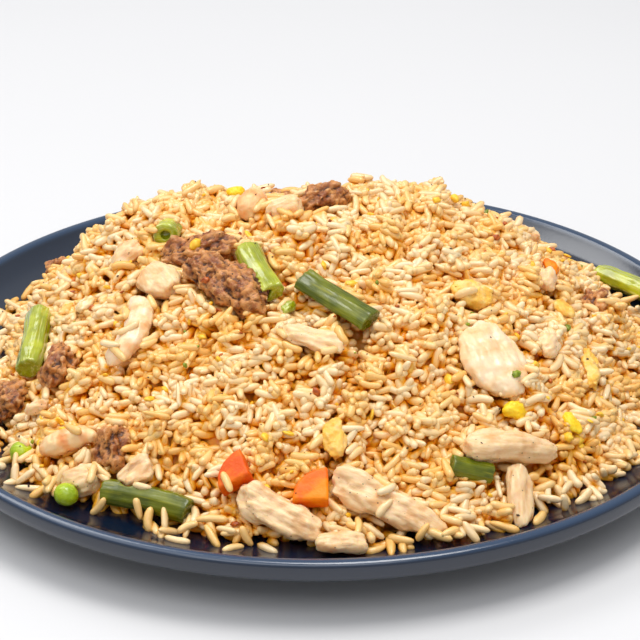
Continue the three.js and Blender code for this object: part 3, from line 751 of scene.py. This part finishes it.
def narrow_end(grain, way):
    """Extrudes the end that faces along X or against it, ring by ring."""
    place, size = HALF_BODY, 1.0
    for next_place, next_size in RINGS:
        bpy.ops.mesh.select_all(action="DESELECT")
        bpy.ops.object.mode_set(mode="OBJECT")
        for face in grain.data.polygons:
            face.select = face.normal.x * way > 0.99
        bpy.ops.object.mode_set(mode="EDIT")
        step = {"value": (way * (next_place - place), 0, 0)}
        bpy.ops.mesh.extrude_region_move(TRANSFORM_OT_translate=step)
        share = next_size / size
        bpy.ops.transform.resize(value=(1, share, share), center_override=(way * next_place, 0, 0))
        place, size = next_place, next_size


def resize(piece, scale):
    piece.scale = scale
    bpy.ops.object.transform_apply(location=False, rotation=False, scale=True)


def grain_shape(name, bend, taper, flat):
    grain = added(bpy.ops.mesh.primitive_cylinder_add, name, vertices=6, radius=0.5,
                  depth=2 * HALF_BODY, rotation=(0, math.pi / 2, 0))
    bpy.ops.object.transform_apply(location=False, rotation=True, scale=False)
    bpy.ops.object.mode_set(mode="EDIT")
    bpy.ops.mesh.select_mode(type="FACE")
    for way in (1, -1):
        narrow_end(grain, way)
    bpy.ops.mesh.select_all(action="SELECT")
    bpy.ops.mesh.bisect(plane_co=(0, 0, 0), plane_no=(1, 0, 0))
    bpy.ops.transform.resize(value=(1, BELLY, BELLY), center_override=(0, 0, 0))
    bpy.ops.object.mode_set(mode="OBJECT")
    resize(grain, (1, 1 / 3, flat / 3))
    apply_modifier(grain, "SIMPLE_DEFORM", deform_method="TAPER", factor=taper, deform_axis="X")
    apply_modifier(grain, "SIMPLE_DEFORM", deform_method="BEND", angle=bend, deform_axis="Z")
    displace(grain, 0.3, 0.05, texture_coords="LOCAL")
    return grain


shapes = [grain_shape(f"grain_{n}", *values) for n, values in enumerate(SHAPES)]
print("grain faces:", [len(g.data.polygons) for g in shapes], "size:",
      [round(x, 2) for x in shapes[0].dimensions])

# %% [markdown]
# ## Laying the grains down
#
# Rice isn't placed, it falls. Each grain is let down on the map. The highest spots under it,
# on either side of its middle, hold it up, which gives its height and its slope. It is then
# stamped into the map, so the next one lies on it.

# %% Resting and stamping
draw = np.random.default_rng(31)
STATIONS = np.array([-0.84, -0.56, -0.28, 0, 0.28, 0.56, 0.84])
SIDES = np.array([-0.55, 0, 0.55])
STEEPEST = 1.5
top = np.maximum(core_top, dish_top)
owner = np.full((GRID, GRID), -1)


def at_rest(x, y, heading, long, wide):
    """The height of a grain's middle and its slope, when it lies on what is there."""
    c, s = math.cos(heading), math.sin(heading)
    flat = 1.0
    radius = wide / 2 * np.sqrt(1 - 0.8 * STATIONS ** 2)
    for _ in range(2):
        u = STATIONS * long / 2 * flat
        px = x + c * u[:, None] - s * SIDES * radius[:, None]
        py = y + s * u[:, None] + c * SIDES * radius[:, None]
        need = (at(top, px, py) + radius[:, None] * np.sqrt(1 - SIDES ** 2)).max(axis=1)
        left, right = need[:3], need[4:]
        span = u[4:][None, :] - u[:3][:, None]
        over = (left[:, None] * u[4:][None, :] - right[None, :] * u[:3][:, None]) / span
        k = int(over.argmax())
        if over.flat[k] >= need[3]:
            height = over.flat[k]
            slope = (right[k % 3] - left[k // 3]) / span.flat[k]
        else:
            height = need[3]
            least = ((right - height) / u[4:]).max()
            most = ((left - height) / u[:3]).min()
            slope = least if abs(least) < abs(most) else most
        slope = float(np.clip(slope, -STEEPEST, STEEPEST))
        flat = 1 / math.sqrt(1 + slope * slope)
    return float(height), slope


def stamp(number, x, y, z, heading, tilt, long, wide):
    """Raises the map to the top of a grain, taken as an ellipsoid."""
    c, s, ct, st = math.cos(heading), math.sin(heading), math.cos(tilt), math.sin(tilt)
    long_2, wide_2 = (long / 2) ** 2, (wide / 2) ** 2
    half = math.sqrt(long_2 * ct * ct + wide_2 * st * st)
    i = int(round((x + REACH) / CELL))
    j = int(round((y + REACH) / CELL))
    n = int(max(half, wide / 2) / CELL) + 2
    rows, columns = slice(max(j - n, 0), j + n + 1), slice(max(i - n, 0), i + n + 1)
    dx, dy = spot_x[rows, columns] - x, spot_y[rows, columns] - y
    along, aside = dx * c + dy * s, dy * c - dx * s
    flatwise = ct * ct / long_2 + st * st / wide_2
    upright = st * st / long_2 + ct * ct / wide_2
    skew = ct * st * (1 / long_2 - 1 / wide_2) * along
    within = skew ** 2 - upright * (flatwise * along ** 2 + aside ** 2 / wide_2 - 1)
    raised_to = z + (np.sqrt(np.maximum(within, 0)) - skew) / upright
    higher = (within > 0) & (raised_to > top[rows, columns])
    top[rows, columns][higher] = raised_to[higher]
    owner[rows, columns][higher] = number


print("the map starts at", round(float(top.max()), 1), "mm")

# %% [markdown]
# Most grains lie as they fell, nested a little into what holds them up. Some are stuck at an
# angle, one end among the others, which makes fried rice look loose and fluffy.

# %% Laying one grain
NEST, PUSHED_IN, MOST_TILT = 1.2, 0.6, 1.4
BROKEN = 0.1
grains = []


def grain_size():
    long = LONG * draw.normal(1, 0.13)
    if draw.random() < BROKEN:
        long *= draw.uniform(0.5, 0.75)
    return long, WIDE * draw.normal(1, 0.09)


def settle(x, y, z, heading, tilt, long, wide):
    """Keeps a grain where it is, and stamps it into the map."""
    stamp(len(grains), x, y, z, heading, tilt, long, wide)
    roll, pattern = draw.uniform(0, 2 * math.pi), int(draw.integers(len(shapes)))
    grains.append((x, y, z, heading, tilt, roll, long, wide, pattern))


def lay(x, y, most, stuck=0.0):
    """Lays one grain, unless it would stand higher than most."""
    long, wide = grain_size()
    heading = draw.uniform(0, 2 * math.pi)
    height, slope = at_rest(x, y, heading, long, wide)
    lying = (math.atan(slope), height - NEST)
    more = draw.uniform(0.3, 1.5) * draw.choice([-1, 1])
    leaning = (float(np.clip(lying[0] + more, -MOST_TILT, MOST_TILT)),
               lying[1] + long / 8 * math.sin(abs(more)) - PUSHED_IN)
    for tilt, z in ([leaning, lying] if draw.random() < stuck else [lying]):
        if z + long / 2 * math.sin(abs(tilt)) * 0.8 + wide / 2 < most:
            settle(x, y, z, heading, tilt, long, wide)
            return True
    return False


print("a grain nests", NEST, "mm deep")

# %% [markdown]
# Of a few random spots, the one that lacks most rice is taken, so the heap fills evenly.
# `fill` lays grains there until many in a row have found no room. `plug` pushes them in at
# any angle instead.

# %% Filling a map
PROUD, STUCK, LACK_TO_LAY, LACK_TO_PLUG, ASIDE = 3.0, 0.8, 0.6, 0.5, 0.3
LAY_TRIES, PLUG_TRIES, FILLED_AFTER, PLUGGED_AFTER = 4, 12, 500, 300


def neediest(level, spots, tries):
    """Of some random spots, the one furthest below the level that it should have."""
    picked = spots[draw.integers(len(spots), size=tries)]
    lack = level[picked[:, 0], picked[:, 1]] - top[picked[:, 0], picked[:, 1]]
    row, column = picked[int(lack.argmax())]
    return row, column, lack.max()


def fill(level, spots, proud, limit):
    """Lays grains up to a level, on those spots of the map."""
    failed, first = 0, len(grains)
    while failed < FILLED_AFTER and len(grains) - first < limit:
        row, column, lack = neediest(level, spots, LAY_TRIES)
        x = across[column] + draw.uniform(-ASIDE, ASIDE)
        y = across[row] + draw.uniform(-ASIDE, ASIDE)
        laid = lack > LACK_TO_LAY and lay(x, y, level[row, column] + proud, STUCK)
        failed = 0 if laid else failed + 1
    return len(grains) - first


def plug(level, spots, limit):
    """Pushes grains at any angle into the gaps that are deeper than the level."""
    failed, first = 0, len(grains)
    while failed < PLUGGED_AFTER and len(grains) - first < limit:
        row, column, lack = neediest(level, spots, PLUG_TRIES)
        if lack < LACK_TO_PLUG:
            failed += 1
            continue
        long, wide = grain_size()
        heading, tilt = draw.uniform(0, 2 * math.pi), math.asin(draw.uniform(-0.95, 0.95))
        upward = math.hypot(long / 2 * math.sin(tilt), wide / 2 * math.cos(tilt))
        z = max(level[row, column] + draw.uniform(-0.5, 0.6) - upward, dish_top[row, column] + 1.0)
        settle(across[column], across[row], z, heading, tilt, long, wide)
    return len(grains) - first


print("a grain may stand", PROUD, "mm proud of the form")

# %% [markdown]
# The heap is filled to a little under its form and to the underside of each topping. Then
# the toppings go on the map, the gaps are plugged, and grains bank up against the toppings'
# edges. A few are left lying on the toppings.

# %% Filling the heap
SUNK, TO_PIECE, PLUG_RISE, FROM_FOOT = 2.0, 0.4, 0.2, 3.0
UNDER_EDGE, BANK, ON_PIECES, ROOM_ON_PIECE = 2.5, 2.0, 36, 4.5


def spread(field, reach, rounded):
    """Each spot takes the highest value of a square round it, or of a disc."""
    highest = field.copy()
    for dx, dy in product(range(-reach, reach + 1), repeat=2):
        if not rounded or dx * dx + dy * dy <= reach * reach:
            highest = np.maximum(highest, np.roll(np.roll(field, dx, axis=1), dy, axis=0))
    return highest


bedded = np.where(covered, np.minimum(goal - SUNK, piece_low + TO_PIECE), goal - SUNK)
print("first filling:", fill(bedded, np.argwhere(on_heap), PROUD, 15000))
bed = top.copy()
top = np.maximum(top, piece_top)
open_rice = np.argwhere(~covered & (inside > FROM_FOOT))
print("plugged:", plug(goal + PLUG_RISE, open_rice, 6000))
touching = spread(covered, 5, True)
banked = np.clip(spread(piece_top, 4, False) - UNDER_EDGE, goal, goal + BANK)
print("banked up:", fill(banked, np.argwhere(touching & ~covered & on_heap), BANK, 2500))
on_top = np.argwhere(sprinkled & on_heap)
for row, column in on_top[draw.choice(len(on_top), ON_PIECES, replace=False)]:
    lay(across[column], across[row], top[row, column] + ROOM_ON_PIECE)
in_heap = len(grains)
print("grains in the heap:", in_heap, "top:", round(float(top.max()), 1))

# %% [markdown]
# Grains have rolled a little way out over the plate. At the front they lie in loose clumps,
# and a few single ones lie further off. The grains that lie deepest under others are left
# out again, because nobody sees them.

# %% Fringe and loose grains
MOST_GRAINS, ROLLED_OUT, ROLL_REACH, IN_CLUMP = 12000, 330, 2.2, 3
FRINGE, PLATE_WALL, ROLLED_ROOM, CLUMP_ROOM, SINGLE_TOP = 7, 122, 6.5, 8.5, 24
SINGLES = [(79, -91.5), (82.5, -89.5), (-98, -71), (-40, -113.5), (38, -116), (104, -58)]
FOOT = [(-80, -91), (-76, -89), (-71, -87), (-66, -94), (-61, -96), (-59, -90), (-55, -97),
        (-52, -100), (-48, -104), (-45, -105), (-46, -94), (-42, -100), (-40, -104),
        (-35, -105), (-30, -107), (-27, -100), (-22, -103), (-19, -98), (4, -114), (8, -109),
        (10, -116), (14, -114), (18, -109), (22, -112), (25, -116), (27, -109), (32, -114),
        (36, -108), (39, -112), (42, -107), (46, -110), (50, -104), (53, -106), (56, -105),
        (67, -94), (69, -96), (74, -90), (78, -86), (82, -84)]
fringe = np.argwhere((inside < EDGE) & (inside > -FRINGE) & (far_out < PLATE_WALL) & ~covered)
chance = np.exp(inside[fringe[:, 0], fringe[:, 1]] / ROLL_REACH)
chance /= chance.sum()
for row, column in fringe[draw.choice(len(fringe), ROLLED_OUT, replace=False, p=chance)]:
    lay(across[column], across[row], dish_top[row, column] + ROLLED_ROOM, 0.2)
for x, y in SINGLES:
    lay(x, y, SINGLE_TOP)
for x, y in FOOT:
    for _ in range(IN_CLUMP):
        most = at(dish_top, x, y) + CLUMP_ROOM
        lay(x + draw.normal(0, 1.6), y + draw.normal(0, 1.3), most, 0.4)
buried = np.bincount(owner[owner >= 0], minlength=len(grains)) == 0
depth = np.array([at(top, grain[0], grain[1]) - grain[2] for grain in grains])
deepest_last = np.argsort(np.where(buried, depth, 0.0), kind="stable")
kept = np.sort(deepest_last[:MOST_GRAINS])
print("fringe grains:", len(grains) - in_heap, "kept:", len(kept))

# %% [markdown]
# ## From places to meshes
#
# All the grains of a colour are one mesh, copied from the six shapes with numpy. Every grain
# keeps a tint, the depth of each vertex under the surface, and a tile on the UV map, where
# its sides are unrolled over its two ends.

# %% Surface and shapes as arrays
OVER_BED = 1.5


def blurred(field, reach):
    """Each spot of a map becomes the mean of a square round it, reach cells each way."""
    for axis in (0, 1):
        field = sum(np.roll(field, k, axis) for k in range(-reach, reach + 1)) / (2 * reach + 1)
    return field


def read_shape(piece):
    """A small mesh as plain arrays: places, corners, where each face starts, and UVs."""
    mesh = piece.data
    co = vertex_places(mesh)
    corner = np.empty(len(mesh.loops), int)
    mesh.loops.foreach_get("vertex_index", corner)
    start = np.empty(len(mesh.polygons), int)
    mesh.polygons.foreach_get("loop_start", start)
    low, high = co[:, 0].min(), co[:, 0].max()
    uv = np.empty((len(corner), 2))
    for face in mesh.polygons:
        mine = list(face.loop_indices)
        x, y, z = co[corner[mine]].T
        turn = np.arctan2(z, y) / (2 * np.pi) + 0.5
        if len(mine) > 4 or abs(face.normal.x) > 0.99:
            side = 0.25 if face.center.x < 0 else 0.75
            uv[mine] = np.stack([side + 0.1 * np.cos(turn * 2 * np.pi),
                                 0.1 + 0.1 * np.sin(turn * 2 * np.pi)], axis=1)
            continue
        turn = np.where(turn < turn.max() - 0.5, turn + 1, turn)
        uv[mine] = np.stack([turn / 1.2, 0.22 + 0.78 * (x - low) / (high - low)], axis=1)
    return co, corner, start, uv


rice_surface = blurred(np.where(covered, bed, top), 2)
surface = np.minimum(blurred(top, 2), rice_surface + OVER_BED)
print("surface of the rice up to", round(float(rice_surface.max()), 1), "mm")


# %% Joined meshes
def turned(heading, tilt, roll):
    """Turns for many copies at once: rolled about X, tilted up, then headed round Z."""
    ch, sh, ct, st = np.cos(heading), np.sin(heading), np.cos(tilt), np.sin(tilt)
    cr, sr = np.cos(roll), np.sin(roll)
    x_way = np.stack([ct * ch, ct * sh, st], axis=1)
    side = np.stack([-sh, ch, 0 * sh], axis=1)
    up = np.stack([-st * ch, -st * sh, ct], axis=1)
    return np.stack([x_way, side * cr[:, None] + up * sr[:, None],
                     up * cr[:, None] - side * sr[:, None]], axis=2)


def joined(name, patterns, which, places, turns, sizes, **carried):
    """One mesh of many copies. which is each copy's pattern, and carried its own values."""
    co, corner, start, uv, values = [], [], [], [], {k: [] for k in [*carried, "depth"]}
    base = loops = tile = 0
    tiles = math.ceil(math.sqrt(len(which)))
    for k, pattern in enumerate(patterns):
        mine = np.flatnonzero(which == k)
        shape, around, first, flat = read_shape(pattern)
        moved = np.einsum("nij,vj,nj->nvi", turns[mine], shape, sizes[mine])
        moved += places[mine][:, None, :]
        number = np.arange(len(mine))[:, None]
        co.append(moved.reshape(-1, 3))
        corner.append((around + base + len(shape) * number).ravel())
        start.append((first + loops + len(around) * number).ravel())
        tile_at = np.stack([(tile + number) % tiles, (tile + number) // tiles], axis=2)
        uv.append(((tile_at + 0.06 + 0.88 * flat) / tiles).reshape(-1, 2))
        for key, value in carried.items():
            values[key].append(value[mine].repeat(len(shape)))
        depth = at(surface, moved[..., 0], moved[..., 1]).ravel() - moved[..., 2].ravel()
        values["depth"].append(depth)
        base += len(shape) * len(mine)
        loops += len(around) * len(mine)
        tile += len(mine)
    mesh = bpy.data.meshes.new(name)
    mesh.vertices.add(base)
    mesh.vertices.foreach_set("co", np.concatenate(co).astype(np.float32).ravel() * MM)
    mesh.loops.add(loops)
    mesh.loops.foreach_set("vertex_index", np.concatenate(corner))
    starts = np.concatenate(start)
    mesh.polygons.add(len(starts))
    mesh.polygons.foreach_set("loop_start", starts)
    mesh.polygons.foreach_set("use_smooth", np.ones(len(starts), bool))
    layer = mesh.uv_layers.new(name="OFBake")
    layer.data.foreach_set("uv", np.concatenate(uv).astype(np.float32).ravel())
    for key, parts in values.items():
        attribute = mesh.attributes.new(key, "FLOAT", "POINT")
        attribute.data.foreach_set("value", np.concatenate(parts).astype(np.float32))
    mesh.update(calc_edges=True)
    mesh.validate()
    print(name, "copies:", len(which), "triangles:", len(mesh.loops) - 2 * len(mesh.polygons))
    return linked(name, mesh)


# %% [markdown]
# ## Rice
#
# Cooked rice is cream, and sauce and egg turn it gold, more in some places than in others.
# So the grains are dealt out to five pieces, from white to deep gold. Light that falls
# between grains comes back warmer, so they turn gold with their depth under the surface.

# %% Rice
RICES = [("white", (242, 217, 174), (242, 208, 155)), ("pale", (242, 212, 163), (242, 203, 143)),
         ("golden", (242, 207, 149), (241, 197, 129)), ("amber", (242, 202, 135), (240, 190, 113)),
         ("deep", (240, 194, 119), (238, 179, 89))]
RICE_TOP = 74.3


def rice_finish(name, pale, gold):
    finish = Finish(name, (0.35, (1.0, 0.9, 0.8), 0.7), Coat_Weight=0.35, Coat_Roughness=0.12)
    tint, depth = finish.own("tint"), finish.own("depth")
    sauce = finish.noise(16, detail=3)
    stain = finish.noise(24, detail=3)
    fleck = finish.noise(1.6, detail=3)
    # Grains are painted amber where they turn away from the eye: painted light, the glow of light
    # through their thin edges.
    edge = finish.node("ShaderNodeLayerWeight", {}, {"Blend": 0.5}, out=1)
    colour = finish.coats(pale, (sauce.between(0.38, 0.66) * 0.6 + tint * 0.3, gold),
                          (stain.between(0.5, 0.68) * 0.5, (238, 188, 104)),
                          (edge.between(0.4, 1.0) * 0.5, (252, 182, 52)),
                          (depth.between(-0.2, 2.6), (254, 180, 40)),
                          (depth.between(2.0, 5.5), (240, 142, 16)),
                          (fleck.between(0.56, 0.8) * 0.2, (246, 176, 54)))
    finish.feed(Base_Color=colour, Roughness=fleck * 0.25 + 0.26,
                Normal=finish.bump(finish.noise(0.8, detail=2), 0.08))
    return finish


x, y, z, heading, tilt, roll, long, wide, which = np.array([grains[k] for k in kept]).T
which = which.astype(int)
z = np.minimum(z, RICE_TOP - long / 2 * np.abs(np.sin(tilt)) - wide / 2)
sauced = at(waves(24, 5), x, y) * 0.5 + at(waves(9, 6), x, y) * 0.3 + draw.normal(0, 0.13, len(x))
order = np.argsort(sauced)
kind = np.empty(len(order), int)
kind[order] = np.arange(len(order)) * len(RICES) // len(order)
for number, (name, pale, gold) in enumerate(RICES):
    mine = np.flatnonzero(kind == number)
    sizes = np.stack([long, wide * 3, wide * 3], axis=1)[mine]
    piece = joined("rice_" + name, shapes, which[mine], np.stack([x, y, z], axis=1)[mine],
                   turned(heading[mine], tilt[mine], roll[mine]), sizes,
                   tint=draw.random(len(mine)))
    piece.data.materials.append(rice_finish(name + "_rice", pale, gold).material)
    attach(piece, "root")
    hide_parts("rice_heap")
for shape in shapes:
    bpy.data.objects.remove(shape)

# %% [markdown]
# Now that the grains lie where they lie, the core is raised to just under them. It is painted
# warm orange and shows between them, lumpy, as painted light: the glow of light that passes
# through the grains into the gaps.

# %% Core raised, and its finish
GLOW_DEPTH, UNDER_BED = 6.5, 4.0
glow_top = np.minimum(rice_surface - GLOW_DEPTH, np.where(covered, piece_low - UNDER_BED, 999.0))
glow_height = np.maximum(at(np.maximum(glow_top, core_top), x_core, y_core), raised)
pulled[:, 2] = np.where(upper & (outward < 0.97), glow_height, pulled[:, 2])
pull(core, pulled)
inner = Finish("rice_inside", (0.3, (1, 0.5, 0.2), 1.5), Roughness=0.4)
lump = inner.cells(2.6, feature="SMOOTH_F1")
patch = inner.noise(12, detail=3)
# The warm orange is painted light, the glow through the grains. The grooves between lumps are
# painted darker orange, a painted shade.
warm = inner.coats((252, 192, 92), (patch.between(0.3, 0.7), (250, 172, 60)),
                   (lump.between(0.25, 0.7) * 0.5, (240, 142, 34)))
inner.feed(Base_Color=warm, Normal=inner.bump(1 - lump, 1.2))
core.data.materials.append(inner.material)
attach(core, "root")
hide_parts("rice_heap")
only(core)
bpy.ops.object.shade_smooth()
print("core up to", round(float(pulled[:, 2].max()), 1), "mm")

# %% [markdown]
# ## Bits and crumbs
#
# Seven bits are too small to be pieces of their own, and are fused to the rice. Each is a
# small sphere pulled to size, worked with the same reliefs, and laid on the slope.

# %% Bits on the rice
STEP = 2.4
ground = blurred(top, 5)


def laid_on_slope(x, y, heading, lift):
    """The turn and place of something that lies on the rice, its long way along the heading."""
    slope_x = (at(ground, x + STEP, y) - at(ground, x - STEP, y)) / (2 * STEP)
    slope_y = (at(ground, x, y + STEP) - at(ground, x, y - STEP)) / (2 * STEP)
    up = Vector((-slope_x, -slope_y, 1)).normalized()
    ahead = Vector((math.cos(heading), math.sin(heading), 0))
    ahead = (ahead - up * ahead.dot(up)).normalized()
    turn = Matrix([ahead, up.cross(ahead), up]).transposed().to_4x4()
    return Matrix.Translation((Vector((x, y, float(at(ground, x, y)))) + up * lift) * MM) @ turn


def bit(name, x, y, heading, size, bumps, finish):
    piece = added(bpy.ops.mesh.primitive_ico_sphere_add, name, subdivisions=4, radius=0.5)
    resize(piece, [length * MM for length in size])
    piece.data.transform(laid_on_slope(x, y, math.radians(heading), size[2] * 0.3))
    relief(piece, bumps, 0.6 * bumps, 1.5)
    relief(piece, bumps / 2.5, 0.25 * bumps)
    serve(piece, finish, "rice_heap")


onion = Finish("cooked_onion", Roughness=0.25, Specular_IOR_Level=0.6, Coat_Weight=0.3)
layer = onion.fibres(1.6, 0.3)
onion.feed(Base_Color=onion.mix(layer.between(0.4, 0.65), (246, 224, 176), (226, 186, 120)))
bit("bit_bean_curl", -9, -48, 62, (7, 4, 3.4), 2.6, fresh_green)
bit("bit_carrot", 77, 6, 120, (7, 5, 3.6), 2.4, bright_carrot)
bit("bit_chicken", -86, -53, 8, (9, 4.4, 4), 2.6, chicken)
bit("bit_egg_right", 79, -17, -50, (9, 6, 4), 2.6, golden_egg)
bit("bit_onion", -74, -15, 70, (9, 6, 4), 2.4, onion)
bit("bit_egg_crown", -27, 24, 20, (6, 5, 4), 2.2, bright_egg)
bit("bit_egg_low", 76, -73, -40, (8, 5, 3.6), 2.4, bright_egg)
print("bits: 7, faces:", sum(len(p.data.polygons) for p in served[-7:]))

# %% [markdown]
# Over everything lie egg crumbs, green shreds, toasted scraps and pepper. Three knobbly
# shapes are joined into one mesh for each kind. Each crumb sticks to whatever is under it,
# and those at listed places are as large as their kind gets.

# %% Crumbs
def crumb_shape(name, size, flat):
    crumb = added(bpy.ops.mesh.primitive_ico_sphere_add, name, subdivisions=2, radius=0.5)
    displace(crumb, size, 0.7, texture_coords="LOCAL")
    resize(crumb, (1, 0.75, flat))
    return crumb


def scattered(name, count, spots, small, large, listed, finish):
    """Crumbs of one kind, at random spots of the map and at the listed places."""
    picked = spots[draw.choice(len(spots), count, replace=False)]
    x = np.concatenate([across[picked[:, 1]], [p[0] for p in listed]])
    y = np.concatenate([across[picked[:, 0]], [p[1] for p in listed]])
    size = small * (large / small) ** draw.random(len(x)) ** 1.6
    size[count:] = large
    z = at(top, x, y) + size * 0.12
    tilt = draw.normal(0, 0.5, len(x))
    turns = turned(draw.uniform(0, 2 * np.pi, len(x)), tilt, draw.normal(0, 0.5, len(x)))
    which = draw.integers(len(crumbs), size=len(x))
    piece = joined(name, crumbs, which, np.stack([x, y, z], axis=1), turns,
                   np.stack([size] * 3, axis=1), tint=draw.random(len(x)))
    piece.data.materials.append(finish.material)
    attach(piece, "root")


def crumb_finish(name, dark, light, roughness):
    finish = Finish(name, Roughness=roughness)
    cloud = finish.noise(1.2, detail=3)
    share = cloud.between(0.35, 0.65) * 0.6 + finish.own("tint") * 0.4
    finish.feed(Base_Color=finish.mix(share, dark, light), Normal=finish.bump(cloud, 0.2))
    return finish


crumbs = [crumb_shape("crumb_round", 0.35, 0.7), crumb_shape("crumb_flat", 0.5, 0.35),
          crumb_shape("crumb_long", 0.25, 0.5)]
on_rice = np.argwhere(on_heap & ~covered)
anywhere = np.argwhere(inside > -3)
scattered("crumbs_egg", 125, on_rice, 1.5, 4.2,
          [(74.9, -77), (78.5, -75.3), (-50, -71.2), (-38.3, -18.1), (-18.3, 26.4)],
          crumb_finish("egg_crumb", (240, 168, 10), (252, 212, 70), 0.4))
scattered("crumbs_green", 26, on_rice, 1.0, 3.2, [(59.9, -66.1), (79.8, -24.9), (71.9, 20.6)],
          crumb_finish("green_shred", (92, 110, 4), (160, 172, 40), 0.3))
scattered("crumbs_toasted", 65, on_rice, 1.0, 3.0, [(-71.9, -18.6), (-30, -46), (-34, -40)],
          crumb_finish("toasted_scrap", (140, 56, 10), (214, 112, 34), 0.35))
scattered("crumbs_pepper", 170, anywhere, 0.55, 1.1, [],
          crumb_finish("ground_pepper", (34, 22, 14), (84, 56, 32), 0.5))
for crumb in crumbs:
    bpy.data.objects.remove(crumb)
